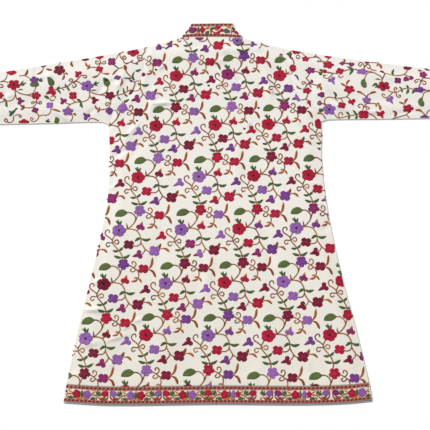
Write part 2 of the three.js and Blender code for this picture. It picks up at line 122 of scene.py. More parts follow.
def path_at(points, shares):
    """Points on a smooth curve through the given ones, at shares of it from 0 to 1."""
    points = np.array(points, float)
    padded = np.vstack([2 * points[0] - points[1], points, 2 * points[-1] - points[-2]])
    place = np.asarray(shares, float) * (len(points) - 1)
    i = np.clip(place.astype(int), 0, len(points) - 2)
    t = (place - i)[:, None]
    a, b, c, d = (padded[i + k] for k in range(4))
    ab, bc, cd = (np.maximum(np.linalg.norm(q - p, axis=1), 1e-6)[:, None] ** 0.5
                  for p, q in ((a, b), (b, c), (c, d)))
    leaving = bc * ((b - a) / ab - (c - a) / (ab + bc) + (c - b) / bc)
    arriving = bc * ((c - b) / bc - (d - b) / (bc + cd) + (d - c) / cd)
    cubic = 2 * b - 2 * c + leaving + arriving
    square = -3 * b + 3 * c - 2 * leaving - arriving
    return b + t * (leaving + t * (square + t * cubic))


side_x = {side: through(rows) for side, rows in SIDES.items()}
sleeve_lower_y = {side: through(rows) for side, rows in SLEEVE_LOWER.items()}
hem_y = through(HEM)
top_y = through(TOP_EDGE)
OUTWARD = {"left": -1, "right": 1}


def inside_by(x, y):
    """How far a point lies inside the jacket's outline."""
    nearest = np.minimum(top_y(x) - y, y - hem_y(x))
    for side, outward in OUTWARD.items():
        arm_x = ARMHOLES[side][0][0]
        on_sleeve = (outward * (x - arm_x) > 0) & (y > UNDERARM_Y - EDGE_SOFTNESS)
        over_arm = np.hypot(x - arm_x, y - UNDERARM_Y)
        to_side = outward * (side_x[side](y) - x)
        reach = np.where(on_sleeve, y - sleeve_lower_y[side](x),
                         np.where(y > UNDERARM_Y, over_arm, to_side))
        nearest = np.minimum(nearest, reach)
    return np.maximum(nearest, 0)


def soft_lines(rows, x, y):
    """The height at each point of soft ridges, or of troughs where their height is negative."""
    total = np.zeros(np.shape(x))
    for middle_x, middle_y, turn, length, width, height in rows:
        cos, sin = math.cos(math.radians(turn)), math.sin(math.radians(turn))
        along = (x - middle_x) * cos + (y - middle_y) * sin
        across = (y - middle_y) * cos - (x - middle_x) * sin
        fade = ease(1 - np.abs(along) / (length / 2))
        total += height * fade * np.exp(-((across / width) ** 2))
    return total


def lift_share(x, y, reach):
    """Share of the lift that the braids under the fronts give to the cloth above them."""
    over_hem = 1 - ease((y - hem_y(x) - BAND_HEIGHT - reach) / 26)
    base = top_y(np.sign(x) * NECK_HALF)
    neck = np.hypot(x / NECK_HALF, np.minimum(y - base, 0) / (base - FRONT_NECK_Y))
    over_neck = 1 - ease(((neck - 1) * NECK_HALF - reach) / 26)
    return np.maximum(over_hem, over_neck)


def back_z(x, y):
    """Underside of the upper layer, as the CAD solids have it."""
    inside = inside_by(x, y)
    loose = (RISE + soft_lines(FOLDS, x, y)) * ease(inside / EDGE_SOFTNESS)
    near_collar = ease(1 - (top_y(x) - y) / 40) * ease((NECK_HALF + 26 - np.abs(x)) / 26)
    lift = BRAID_LIFT * lift_share(x, y, LIFT_REACH)
    return lift + 1.8 + np.maximum(loose, 0) + 0.5 * near_collar


# Finer creases, which the cloth alone has, in the same way.
CREASES = [
    (-258, -335, 15, 81, 5, 1.0), (-318, -263, 1, 81, 5, 0.8), (-202, -291, 11, 39, 4, 0.8),
    (-233, -308, 28, 43, 6, 0.6), (-267, -399, 53, 23, 4, 0.7), (-337, -395, 67, 30, 5, -0.6),
    (-300, -190, 12, 70, 5, 0.7), (-322, -262, 170, 90, 6, 0.8), (-330, -350, 8, 90, 7, 0.8),
    (-372, -430, 14, 70, 6, 0.6), (-262, 60, 20, 60, 5, 0.5), (-258, -60, 160, 60, 5, 0.5),
    (-250, 150, 28, 90, 6, -0.8), (-215, 214, 48, 80, 5, 0.8), (252, 168, 150, 90, 6, -0.7),
    (228, 226, 136, 80, 5, 0.7), (268, 60, 168, 70, 6, 0.5), (292, -60, 12, 60, 6, -0.5),
    (60, 432, -12, 90, 6, 0.7), (-40, 446, 10, 80, 5, -0.6), (110, 428, -30, 70, 6, -0.7),
    (0, 402, 2, 130, 6, 0.5), (150, 330, 100, 110, 8, 0.7), (-160, 300, 78, 120, 9, 0.7),
    (-478, 372, 96, 60, 5, -0.7), (-440, 366, 92, 50, 5, 0.7), (-560, 318, 104, 60, 5, -0.6),
    (-426, 268, 128, 70, 5, 0.8), (-396, 240, 6, 90, 6, 0.7), (-330, 262, 40, 80, 6, -0.7),
    (-300, 330, 60, 90, 8, -0.7), (-248, 352, 72, 90, 9, 0.7), (-660, 286, 20, 90, 6, 0.6),
    (340, 268, 150, 90, 6, 0.7), (300, 330, 118, 100, 8, 0.7), (262, 352, 106, 90, 9, -0.6),
    (420, 254, 174, 120, 6, 0.7), (520, 252, 8, 110, 6, -0.6), (480, 350, 160, 90, 7, 0.6),
    (650, 262, 172, 110, 6, 0.6), (690, 330, 100, 60, 6, -0.6), (-20, -180, 84, 220, 14, 0.5),
    (140, -130, 96, 220, 14, -0.5), (-150, -120, 80, 220, 16, -0.5), (60, 120, 88, 260, 18, 0.4),
    (-100, 90, 84, 240, 16, -0.4), (-30, -440, 86, 110, 8, 0.6), (98, -452, 94, 90, 8, 0.6),
    (-180, -440, 80, 100, 8, -0.6), (250, -440, 102, 100, 8, -0.6), (300, -420, 106, 110, 9, 0.6),
    (-140, 285, 179, 62, 5, 0.9), (30, 430, 157, 40, 6, 1.0), (-135, 389, 9, 25, 5, 0.7),
    (122, 437, 169, 38, 5, 0.8), (158, 314, 149, 22, 5, 1.0), (94, 226, 60, 22, 5, 0.9),
    (18, 339, 149, 22, 4, 1.0), (69, 348, 133, 36, 6, -0.6), (-282, 358, 159, 51, 5, 0.8),
    (-256, 337, 156, 36, 5, 0.7), (-142, 387, 11, 27, 5, 0.7), (-135, 286, 0, 70, 5, 0.6),
    (281, 302, 140, 58, 5, 0.8), (255, 397, 160, 100, 6, 0.6), (-405, 253, 136, 66, 5, 1.1),
    (-549, 312, 21, 28, 5, 0.7), (-443, 367, 176, 74, 5, 0.6),
]


def armhole_distance(side, x, y):
    """Distance from the armhole seam, negative to the left of it."""
    line = path_at(ARMHOLES[side], np.linspace(0, 1, 40))
    away = np.full(np.shape(x), 1e6)
    near = np.abs(x - line[:, 0].mean()) < 120
    gap = np.hypot(x[near][:, None] - line[:, 0], y[near][:, None] - line[:, 1])
    order = np.argsort(line[:, 1])
    seam_x = np.interp(y[near], line[order, 1], line[order, 0])
    away[near] = gap.min(axis=1) * np.where(x[near] < seam_x, -1, 1)
    return away


def upper_face(x, y, edge=BODY_EDGE):
    """Outer face of the upper layer, rolled down over its last millimetres at the outline."""
    inside = inside_by(x, y)
    settled = ease(inside / CREASE_FADE)
    ripple = 0.16 * np.sin(x / 17 + 2.1 * np.sin(y / 41)) * np.sin(y / 23 + 1.7 * np.sin(x / 37))
    over_hem = ease((y - hem_y(x) - BAND_HEIGHT - 4) / 30)
    creases = soft_lines(CREASES, x, y) * (0.2 + 0.8 * over_hem)
    creases *= np.where(creases > 0, CREASE_RISE, CREASE_DEPTH)
    z = back_z(x, y) + UPPER_CLOTH + (creases + ripple) * settled
    for side in ARMHOLES:
        away = armhole_distance(side, x, y)
        z -= GROOVE_DEPTH * np.exp(-((away / 8) ** 2)) * settled
        z += ROLL_HEIGHT * np.exp(-(((away - 14) / 8) ** 2)) * settled
    radius = edge * (0.15 + 0.85 * np.maximum(ease((np.abs(x) - 74) / 12), y < 400))
    return z - radius + np.sqrt(radius**2 - np.maximum(radius - inside, 0) ** 2)


def sleeve_face(x, y):
    return upper_face(x, y, SLEEVE_EDGE)


def band_face(x, y):
    return upper_face(x, y, BAND_EDGE)


def under_face(x, y):
    """Outer face, looking down, of the layer that lies on the floor."""
    lift = lift_share(x, y, 0)
    return BRAID_LIFT * lift + UNDER_CLOTH * (1 - 0.5 * lift)


def flat_face(z):
    return lambda x, y: np.full(np.shape(x), z)


def panel_plan(start, end, bottom, top, u, v):
    """Points of a panel between four edges, in rows from its bottom to its top."""
    along, across = v[:, None, None], u[None, :, None]
    sides = start(v)[:, None] * (1 - across) + end(v)[:, None] * across
    rows = bottom(u)[None] * (1 - along) + top(u)[None] * along
    low, high = bottom(np.array([0.0, 1.0])), top(np.array([0.0, 1.0]))
    corners = ((low[0] * (1 - across) + low[1] * across) * (1 - along)
               + (high[0] * (1 - across) + high[1] * across) * along)
    return sides + rows - corners


def shares(length, spacing, start=True, end=True):
    """Even shares of a length, closer together over the last millimetres of its ends."""
    near = np.array([0.0, 0.5, 1.1, 1.9])
    first = 3.0 if start else 0.0
    last = length - (3.0 if end else 0.0)
    even = np.linspace(first, last, max(round((last - first) / spacing), 2) + 1)
    parts = [near] * start + [even] + [length - near[::-1]] * end
    return np.concatenate(parts) / length


def grid_normals(grid, closed):
    if closed:
        grid = np.concatenate([grid[:, -1:], grid, grid[:, :1]], axis=1)
    across = np.gradient(grid, axis=1)
    along = np.gradient(grid, axis=0)
    normals = np.cross(across, along)
    if closed:
        normals = normals[:, 1:-1]
    return normals / np.maximum(np.linalg.norm(normals, axis=2, keepdims=True), 1e-9)


def make_mesh(name, points, faces, finish, smooth=True):
    mesh = bpy.data.meshes.new(name)
    mesh.from_pydata((np.asarray(points) * MM).tolist(), [], np.asarray(faces).tolist())
    mesh.polygons.foreach_set("use_smooth", [smooth] * len(mesh.polygons))
    mesh.materials.append(finish)
    mesh.update()
    piece = bpy.data.objects.new(name, mesh)
    bpy.context.collection.objects.link(piece)
    return piece


def cloth_shell(name, outer, finish, wall=CLOTH_WALL, closed=False, lining=None):
    """A wall of cloth behind a grid of points on its outer face."""
    inner = outer - grid_normals(outer, closed) * wall
    rows, columns = outer.shape[:2]
    index = np.arange(rows * columns).reshape(rows, columns)
    if closed:
        index = np.concatenate([index, index[:, :1]], axis=1)
    a, b, c, d = index[:-1, :-1], index[:-1, 1:], index[1:, 1:], index[1:, :-1]
    face = np.stack([a, b, c, d], axis=-1).reshape(-1, 4)
    count = rows * columns
    faces = [face, face[:, ::-1] + count]

    def rim(edge):
        return np.stack([edge[1:], edge[:-1], edge[:-1] + count, edge[1:] + count], axis=-1)

    faces += [rim(index[0]), rim(index[-1][::-1])]
    if not closed:
        faces += [rim(index[::-1, 0]), rim(index[:, -1])]
    points = np.concatenate([outer.reshape(-1, 3), inner.reshape(-1, 3)])
    piece = make_mesh(name, points, np.concatenate(faces), finish)
    if lining:
        piece.data.materials.append(lining)
        slots = np.zeros(len(piece.data.polygons), int)
        slots[len(face):] = 1
        piece.data.polygons.foreach_set("material_index", slots)
    return piece


def with_z(plan, face):
    return np.dstack([plan, face(plan[..., 0], plan[..., 1])])


SIDE_SHARE = 0.75  # of a panel's outer edge, up to where its armhole starts


def outer_edge(side):
    lowest = hem_y(side_x[side](HEM_CORNER_Y)) + BAND_HEIGHT + SEAM_GAP

    def at(v):
        y = lowest + (UNDERARM_Y - lowest) * np.clip(v / SIDE_SHARE, 0, 1)
        on_side = np.stack([side_x[side](y), y], axis=-1)
        on_armhole = path_at(ARMHOLES[side], np.clip((v - SIDE_SHARE) / (1 - SIDE_SHARE), 0, 1))
        return np.where((v < SIDE_SHARE)[:, None], on_side, on_armhole)

    return at


def over_hem(from_x, to_x, height):
    def at(u):
        x = from_x + (to_x - from_x) * u
        return np.stack([x, hem_y(x) + height], axis=-1)

    return at


def hem_side_x(side, height):
    return float(side_x[side](hem_y(side_x[side](HEM_CORNER_Y)) + height))


def back_panel(finish):
    left, right = ARMHOLES["left"][-1][0], ARMHOLES["right"][-1][0]

    def top(u):
        x = left + (right - left) * u
        return np.stack([x, top_y(x)], axis=-1)

    height = BAND_HEIGHT + SEAM_GAP
    bottom = over_hem(hem_side_x("left", height), hem_side_x("right", height), height)
    plan = panel_plan(outer_edge("left"), outer_edge("right"), bottom, top,
                      shares(640, 4.0), shares(935, 4.1, start=False))
    return cloth_shell("back_cloth", with_z(plan, upper_face), finish)


def neck_point(side, angle, inset):
    base = top_y(OUTWARD[side] * NECK_HALF)
    return np.stack([OUTWARD[side] * (NECK_HALF - inset) * np.cos(angle),
                     base - (base - FRONT_NECK_Y - inset) * np.sin(angle)], axis=-1)


FRONT_EDGE_ANGLE = math.acos(FRONT_EDGE_X / NECK_HALF)


def front_panel(side, finish):
    shoulder = ARMHOLES[side][-1][0]
    neck = OUTWARD[side] * NECK_HALF

    def top(u):
        x = shoulder + (neck - shoulder) * np.clip(u * 2, 0, 1)
        on_shoulder = np.stack([x, top_y(x) - 0.9], axis=-1)
        on_neck = neck_point(side, FRONT_EDGE_ANGLE * np.clip(u * 2 - 1, 0, 1), 0)
        return np.where((u < 0.5)[:, None], on_shoulder, on_neck)

    height = BAND_HEIGHT + SEAM_GAP
    bottom = over_hem(hem_side_x(side, height), OUTWARD[side] * FRONT_EDGE_X, height)

    def front_edge(v):
        ends = bottom(np.array([1.0])), top(np.array([1.0]))
        return ends[0] * (1 - v[:, None]) + ends[1] * v[:, None]

    across = np.linspace(0.003, 1, 40)
    plan = panel_plan(outer_edge(side), front_edge, bottom, top, across, np.linspace(0, 1, 104))
    if side == "left":
        plan = plan[:, ::-1]
    return cloth_shell(f"front_{side}_cloth", with_z(plan, under_face), finish)


def hem_grid(from_side, to_x, low, high, face, columns, rows, inset=0.0):
    heights = np.linspace(low, high, rows)
    grid = []
    for height in heights:
        start = hem_side_x(from_side, height) - OUTWARD[from_side] * inset
        end = hem_side_x("right", height) if to_x is None else to_x
        grid.append(over_hem(start, end, height)(columns))
    return with_z(np.array(grid), face)


def sleeve_grid(side):
    outward = OUTWARD[side]
    cuff_x, cuff_low_x = outward * CUFF_X, outward * CUFF_LOW_X
    t = shares(190, 5.0)
    line = path_at(ARMHOLES[side], t)
    step = np.gradient(line, axis=0)
    step /= np.linalg.norm(step, axis=1, keepdims=True)
    seam = line + outward * SEAM_GAP / 2 * np.stack([step[:, 1], -step[:, 0]], axis=-1)
    cuff_low = np.array([cuff_low_x, sleeve_lower_y[side](cuff_low_x)])
    cuff_top = np.array([cuff_x, top_y(cuff_x)])

    def lower(s):
        x = seam[0, 0] + (cuff_low_x - seam[0, 0]) * s
        return np.stack([x, sleeve_lower_y[side](x)], axis=-1)

    def upper(s):
        x = seam[-1, 0] + (cuff_x - seam[-1, 0]) * s
        return np.stack([x, top_y(x)], axis=-1)

    def at_seam(v):
        return np.stack([np.interp(v, t, seam[:, k]) for k in (0, 1)], axis=-1)

    def at_cuff(v):
        return cuff_low * (1 - v[:, None]) + cuff_top * v[:, None]

    s = shares(480, 4.8, end=False)
    plan = panel_plan(at_seam, at_cuff, lower, upper, s, t)
    x, y = plan[..., 0], plan[..., 1]
    over = with_z(plan, sleeve_face)
    inside = np.minimum(y - lower(s)[None, :, 1], upper(s)[None, :, 1] - y).clip(0)
    radius = 0.95
    rolled = radius - np.sqrt(radius**2 - np.maximum(radius - inside, 0) ** 2)
    under = np.dstack([plan, UNDER_CLOTH + rolled])
    ring = np.concatenate([over, under[-2:0:-1]])
    ring = ring.transpose(1, 0, 2)
    return ring if side == "left" else ring[:, ::-1]


def collar_line():
    """The middle of the collar's cloth from front edge to front edge: its base, its top and
    the way that its outer face looks."""
    base, top, out = [], [], []

    def add(base_point, top_point, direction):
        base.append(base_point)
        top.append(top_point)
        out.append(direction)

    def front_half(side, order):
        outward = OUTWARD[side]
        depth = COLLAR_TOP_Y - FRONT_NECK_Y - COLLAR_HEIGHT
        for share in order:
            angle = FRONT_EDGE_ANGLE * share
            x, y = neck_point(side, angle, SEAM_GAP)
            top_x = max(COLLAR_TOP_HALF * math.cos(angle), FRONT_EDGE_X) * outward
            top_point = (top_x, COLLAR_TOP_Y - depth * math.sin(angle), COLLAR_LOW_Z)
            add((x, y, COLLAR_LOW_Z), top_point, (0, 0, -1))

    def fold(side, order):
        outward = OUTWARD[side]
        foot = np.array([outward * (NECK_HALF - SEAM_GAP),
                         top_y(outward * NECK_HALF) + SEAM_GAP, 0])
        head = np.array([outward * COLLAR_TOP_HALF, COLLAR_TOP_Y, 0])
        line = (head - foot) / np.linalg.norm(head - foot)
        aside = np.array([outward * line[1], -outward * line[0], 0])
        for share in order:
            turn = math.pi * share
            direction = aside * math.sin(turn) - np.array([0, 0, math.cos(turn)])
            shift = direction * 1.15 + np.array([0, 0, (COLLAR_LOW_Z + COLLAR_HIGH_Z) / 2])
            add(foot + shift, head + shift, direction)

    halves = np.linspace(1, 0, 29)[:-1]
    folds = np.linspace(0, 1, 11)
    front_half("left", halves)
    fold("left", folds)
    for share in np.linspace(-1, 1, 42)[1:-1]:
        x = share * (NECK_HALF - SEAM_GAP)
        add((x, float(top_y(x)) + SEAM_GAP, COLLAR_HIGH_Z),
            (share * COLLAR_TOP_HALF, COLLAR_TOP_Y, COLLAR_HIGH_Z), (0, 0, 1))
    fold("right", folds[::-1])
    front_half("right", halves[::-1])
    return np.array(base, float), np.array(top, float), np.array(out, float)


def collar_grid(rows):
    base, top, out = collar_line()
    heights = np.linspace(0, 1, rows)[:, None, None]
    return base[None] + (top - base)[None] * heights + out[None] * COLLAR_FACE


class Term:
    """A socket in a finish, so that its sums are written as plain expressions."""

    def __init__(self, finish, socket):
        self.finish = finish
        self.socket = socket

    def sum(self, operation, first, second):
        return self.finish.node("ShaderNodeMath", {"operation": operation}, {0: first, 1: second})

    def __add__(self, other):
        return self.sum("ADD", self, other)

    def __radd__(self, other):
        return self.sum("ADD", other, self)

    def __sub__(self, other):
        return self.sum("SUBTRACT", self, other)

    def __rsub__(self, other):
        return self.sum("SUBTRACT", other, self)

    def __mul__(self, other):
        return self.sum("MULTIPLY", self, other)

    def __rmul__(self, other):
        return self.sum("MULTIPLY", other, self)


class Finish:
    """A material and the nodes that are added to it."""

    def __init__(self, name, **constants):
        self.material = bpy.data.materials.new(name)
        self.material.use_nodes = True
        self.tree = self.material.node_tree
        self.shader = self.tree.nodes["Principled BSDF"]
        for socket, value in constants.items():
            self.shader.inputs[socket.replace("_", " ")].default_value = value

    def node(self, kind, settings=None, inputs=None, output=0):
        node = self.tree.nodes.new(kind)
        for name, value in (settings or {}).items():
            if name == "stops":
                for i, (place, colour) in enumerate(value):
                    stop = (node.color_ramp.elements[i] if i < 2
                            else node.color_ramp.elements.new(place))
                    stop.position, stop.color = place, (*colour, 1)
            else:
                setattr(node, name, value)
        for key, value in (inputs or {}).items():
            if isinstance(value, Term):
                self.tree.links.new(value.socket, node.inputs[key])
            else:
                node.inputs[key].default_value = value
        return Term(self, node.outputs[output])

    def place(self):
        return self.node("ShaderNodeTexCoord", output="Object")

    def noise(self, scale, detail=2.0, at=None, stretch=None):
        where = at or self.place()
        if stretch:
            where = self.node("ShaderNodeMapping", {}, {"Vector": where, "Scale": stretch})
        return self.node("ShaderNodeTexNoise", {},
                         {"Vector": where, "Scale": scale, "Detail": detail})

    def blend(self, share, first, second, kind="MIX"):
        node = self.tree.nodes.new("ShaderNodeMix")
        node.data_type, node.blend_type = "RGBA", kind
        for key, value in {0: share, 6: first, 7: second}.items():
            if isinstance(value, Term):
                self.tree.links.new(value.socket, node.inputs[key])
            else:
                node.inputs[key].default_value = value if key == 0 else (*value, 1)
        return Term(self, node.outputs[2])

    def colour(self, term):
        self.tree.links.new(term.socket, self.shader.inputs["Base Color"])
        return self

    def roughness(self, term):
        self.tree.links.new(term.socket, self.shader.inputs["Roughness"])
        return self

    def bump(self, height, depth, strength=1.0):
        bump = self.node("ShaderNodeBump", {},
                         {"Height": height, "Distance": depth, "Strength": strength})
        self.tree.links.new(bump.socket, self.shader.inputs["Normal"])
        return self


def cloth_finish(name, warmth=0.0):
    finish = Finish(name, Roughness=0.72, Sheen_Weight=0.15, Sheen_Roughness=0.4)
    height = finish.node("ShaderNodeSeparateXYZ", {}, {"Vector": finish.place()}, output=1)
    tone = finish.node("ShaderNodeValToRGB", {"stops": [(0.05, (0.760, 0.720, 0.635)),
                                                        (0.52, (0.835, 0.805, 0.735)),
                                                        (0.85, (0.815, 0.792, 0.740))]},
                       {"Fac": height + 0.5})
    broad = finish.noise(6.0, 3.0)
    tone = finish.blend(broad * 0.22, tone, (0.86, 0.79, 0.74))
    slub = finish.noise(420.0, 2.0, stretch=(0.08, 1.0, 1.0))
    tone = finish.blend(slub * 0.12, tone, (0.66, 0.62, 0.53))
    if warmth:
        tone = finish.blend(warmth, tone, (0.76, 0.60, 0.46))
    warp = finish.node("ShaderNodeTexWave", {"bands_direction": "X"},
                       {"Vector": finish.place(), "Scale": 320.0, "Distortion": 0.6})
    weft = finish.node("ShaderNodeTexWave", {"bands_direction": "Y"},
                       {"Vector": finish.place(), "Scale": 320.0, "Distortion": 0.6})
    finish.colour(tone).roughness(0.62 + 0.16 * slub)
    finish.bump(warp * 0.5 + weft * 0.5 + slub * 0.9, 0.00012)
    return finish.material


BORDER_WARMTH = 0.42
cloth = cloth_finish("ivory_cloth")
border_cloth = cloth_finish("border_cloth", BORDER_WARMTH)
# The grey-blue lining of the front borders, darkened beyond its own colour as painted shade where
# it shows below the back's hem.
lining_and_shade_finish = Finish("hem_inside", Roughness=0.75)
lining_and_shade_finish.colour(lining_and_shade_finish.blend(lining_and_shade_finish.noise(60.0), (0.40, 0.45, 0.47),
                                         (0.52, 0.57, 0.59)))


def dye(red, green, blue):
    return tuple(((c / 255 + 0.055) / 1.055) ** 2.4 for c in (red, green, blue))


# Embroidery threads: crimson, maroon, plum, lilac, violet, green, dark green, rust, brown,
# ochre, tan, near black, wine, rose and salmon.
THREADS = {
    "c": dye(186, 10, 56), "m": dye(130, 8, 52), "p": dye(148, 36, 106), "l": dye(156, 102, 182),
    "v": dye(124, 60, 144), "g": dye(90, 110, 56), "d": dye(72, 102, 50), "b": dye(174, 94, 38),
    "k": dye(146, 72, 28), "o": dye(204, 138, 60), "t": dye(196, 124, 62), "n": dye(20, 14, 14),
    "w": dye(112, 16, 38), "r": dye(182, 104, 108), "s": dye(208, 128, 92),
}
ROW_PITCH = 2.6  # between rows of chain stitch in a filled shape
LINK_PITCH = 3.2  # between the links of a stem
SUNK = 0.35  # how far a filled shape reaches into the cloth
EYE_RADIUS = 3.4
STITCH_MARGIN = 1.6  # between stitching and the edge of its piece
FRONT_MARGIN = 1.5  # between stitching and the centre front
HEM_FILL, COLLAR_FILL = 13.2, 14.5  # half the height that is stitched between the braids
chance = np.random.default_rng(11)


class Stitches:
    """Stitching on one piece of cloth. Shapes are added in plan, each point with its height
    over the cloth, and become one mesh; stems become rows of links. Stitching that looks
    down, with `up` at -1, lies on a hidden side and has fewer points."""

    def __init__(self, name, face, room, up=1, relief=1.0):
        self.name, self.face, self.room, self.up, self.relief = name, face, room, up, relief
        self.points, self.colours, self.rows, self.faces = [], [], [], []
        self.stems = []
        self.count = 0

    def add(self, plan, heights, colours, rows, faces):
        self.points.append(np.column_stack([plan, heights]))
        self.colours.append(colours)
        self.rows.append(rows)
        self.faces += [tuple(self.count + i for i in face) for face in faces]
        self.count += len(plan)

    def blossom(self, centre, size, lobes, turn, thread, eye=False, depth=0.33, height=0.95):
        """A lobed flower filled from its outline to its middle, cut off where the cloth ends."""
        centre, size = np.array(centre, float), np.array(size, float)
        radius = size.mean()

        def wave(angle):
            return np.abs(np.cos(lobes * (angle - turn) / 2)) ** 0.5

        def filled(at):
            local = (at - centre) / size
            angle = np.arctan2(local[..., 1], local[..., 0])
            return np.hypot(*np.moveaxis(local, -1, 0)) / (1 - depth + depth * wave(angle)), angle

        of_lobe = max(round((radius * 1.15 + 10) / lobes), 4) if self.up > 0 else 4
        count = lobes * of_lobe
        angle = turn + math.pi / lobes + np.arange(count) * (2 * math.pi / count)
        ray = np.stack([np.cos(angle), np.sin(angle)], axis=-1)
        outline = centre + ray * size * (1 - depth + depth * wave(angle))[:, None]
        middle = centre
        if (self.room(outline) < 0).any():
            spread = np.stack(np.meshgrid(*[np.linspace(-1, 1, 25)] * 2), axis=-1).reshape(-1, 2)
            spread = centre + spread * size
            kept = spread[(filled(spread)[0] < 1) & (self.room(spread) > 0)]
            if len(kept) < 30:
                return
            middle = kept.mean(axis=0)
            steps = np.linspace(0, 2.2 * size.max(), 90)
            march = middle + ray[:, None] * steps[None, :, None]
            free = (filled(march)[0] < 1) & (self.room(march) > 0)
            last = np.where(free.all(axis=1), len(steps) - 1, np.argmin(free, axis=1) - 1)
            outline = middle + ray * steps[np.maximum(last, 0)][:, None]
        rings = 2 * max(round(radius / ROW_PITCH), 2) if self.up > 0 else 2
        scale = np.concatenate([[1, 1 - 0.4 / radius], np.linspace(1 - 1.1 / radius, 0, rings)])
        plan = (middle + (outline - middle) * scale[:-1, None, None]).reshape(-1, 2)
        ridge = np.where(np.arange(len(scale)) % 2, 1.0, 0.7)
        ridge[:2] = (-SUNK, 0.5)
        ring_height = height * ridge * (0.86 + 0.14 * (1 - scale**2))
        plan = np.vstack([plan, middle, middle])
        heights = np.append(np.repeat(ring_height[:-1], count), [ring_height[-1], -SUNK])
        inside, around = filled(plan)
        # Painted shade and highlight: the thread is darker towards the notches between the petals,
        # and the raised rings are lighter than the rings between them; the small sine wave only
        # varies the tone.
        notch_shade_mask = (1 - wave(around)) * np.clip(inside * 1.4 - 0.3, 0, 1)
        painted_shading = 1.03 - 0.34 * notch_shade_mask + 0.1 * np.sin(3 * around + 7 * inside) * (inside > 0.2)
        painted_shading *= np.append(np.repeat(0.9 + 0.14 * (ridge[:-1] > 0.9), count), [1, 1])
        base = np.array(THREADS[thread]) * chance.uniform(0.9, 1.1)
        colours = base * painted_shading[:, None] + 0.07 * np.clip(0.45 - inside, 0, 1)[:, None] * (not eye)
        if eye:
            dark = ease((EYE_RADIUS - np.hypot(*(plan - centre).T)) / 0.9)[:, None]
            colours = colours * (1 - dark) + np.array(THREADS["n"]) * dark
        ring = np.repeat(np.arange(len(scale) - 1), count)
        rows = np.column_stack([np.append(np.tile(angle * radius, len(scale) - 1), [0, 0]),
                                np.append(ring, [len(scale) - 1, 0])])
        following = np.roll(np.arange(count), -1)
        faces = []
        for k in range(len(scale) - 2):
            low, high = k * count, (k + 1) * count
            faces += [(low + i, low + j, high + j, high + i) for i, j in enumerate(following)]
        tip = (len(scale) - 1) * count
        inner = tip - count
        faces += [(inner + i, inner + j, tip) for i, j in enumerate(following)]
        faces += [(j, i, tip + 1) for i, j in enumerate(following)]
        self.add(plan, heights, colours, rows, faces)

    def stroke(self, points, width, thread, swell=0.5, height=0.8, end_thread=None, ribs=2,
               ending_at=0.45):
        """A leaf, bud or tip along a curved line, widest at a share `swell` of its length."""
        count = int(width * 0.5) + 7 if self.up > 0 else 6
        share = np.linspace(0, 1, count)
        line = path_at(points, share)
        inside = self.room(line) > 0
        if inside.sum() < 4:
            return
        first, last = np.flatnonzero(inside)[[0, -1]]
        line, share = line[first:last + 1], share[first:last + 1]
        way = np.gradient(line, axis=0)
        way /= np.maximum(np.linalg.norm(way, axis=1, keepdims=True), 1e-6)
        aside = np.stack([-way[:, 1], way[:, 0]], axis=-1)
        bent = np.where(share < swell, share / swell * 0.5,
                        0.5 + (share - swell) / (1 - swell) * 0.5)
        half = width * 0.56 * np.maximum(np.sin(math.pi * bent) ** 0.65, 0.12)
        across = np.concatenate([[-1], np.linspace(-0.82, 0.82, 2 * ribs - 1), [1]])
        ridge = np.where(np.arange(len(across)) % 2, 1.0, 0.78)
        ridge[[0, -1]] = -SUNK / height
        plan = (line[:, None] + aside[:, None] * (across[None, :] * half[:, None])[..., None])
        heights = height * ridge[None, :] * np.ones((len(line), 1))
        heights[:, 1:-1] *= (0.55 + 0.45 * np.sin(math.pi * bent))[:, None]
        base = np.array(THREADS[thread]) * chance.uniform(0.88, 1.12)
        ending = np.array(THREADS[end_thread or thread])
        colours = base + (ending - base) * ease((share - ending_at) / 0.2)[:, None]
        # Painted highlight and shade: the raised rows of stitches are lighter and the rows between
        # them darker.
        painted_shading = 0.86 + 0.2 * (ridge > 0.9)
        colours = colours[:, None] * painted_shading[None, :, None]
        size = np.linalg.norm(np.diff(line, axis=0), axis=1).sum()
        rows = np.stack(np.broadcast_arrays(share[:, None] * size, np.arange(len(across))), axis=-1)
        faces = []
        n = len(across)
        for k in range(len(line) - 1):
            a, b = k * n, (k + 1) * n
            faces += [(b + i, a + i, a + i + 1, b + i + 1)[::-1] for i in range(n - 1)]
            faces.append((a, b, b + n - 1, a + n - 1)[::-1])
        end = (len(line) - 1) * n
        faces += [tuple(range(n)), tuple(range(end + n - 1, end - 1, -1))]
        self.add(plan.reshape(-1, 2), heights.ravel(), colours.reshape(-1, 3),
                 rows.reshape(-1, 2), faces)

    def stem(self, points, thread):
        """A stem of chain stitch, cut where the cloth ends."""
        size = np.linalg.norm(np.diff(np.array(points, float), axis=0), axis=1).sum()
        line = path_at(points, np.linspace(0, 1, max(int(size / 1.2), 4)))
        inside = self.room(line) > 0
        breaks = np.flatnonzero(np.diff(inside.astype(int))) + 1
        for part, kept in zip(np.split(line, breaks), np.split(inside, breaks)):
            if kept[0] and len(part) > 3:
                self.stems.append((part, np.array(THREADS[thread]) * chance.uniform(0.88, 1.12)))

    def surface(self, plan, height):
        z = self.face(plan[:, 0], plan[:, 1]) + self.up * self.relief * height
        return np.column_stack([plan, z])

    def filled_mesh(self, finish):
        packed = np.concatenate(self.points)
        faces = self.faces if self.up > 0 else [face[::-1] for face in self.faces]
        mesh = bpy.data.meshes.new(self.name + "_motifs")
        placed = self.surface(packed[:, :2], packed[:, 2])
        mesh.from_pydata((placed * MM).tolist(), [], faces)
        mesh.polygons.foreach_set("use_smooth", [True] * len(mesh.polygons))
        colours = np.column_stack([np.concatenate(self.colours), np.ones(len(packed))])
        add_dye(mesh, colours.clip(0, 1))
        corners = np.empty(len(mesh.loops), int)
        mesh.loops.foreach_get("vertex_index", corners)
        mesh.uv_layers.new(name="rows").data.foreach_set(
            "uv", np.concatenate(self.rows)[corners].astype(float).ravel())
        mesh.materials.append(finish)
        piece = bpy.data.objects.new(mesh.name, mesh)
        bpy.context.collection.objects.link(piece)
        return piece

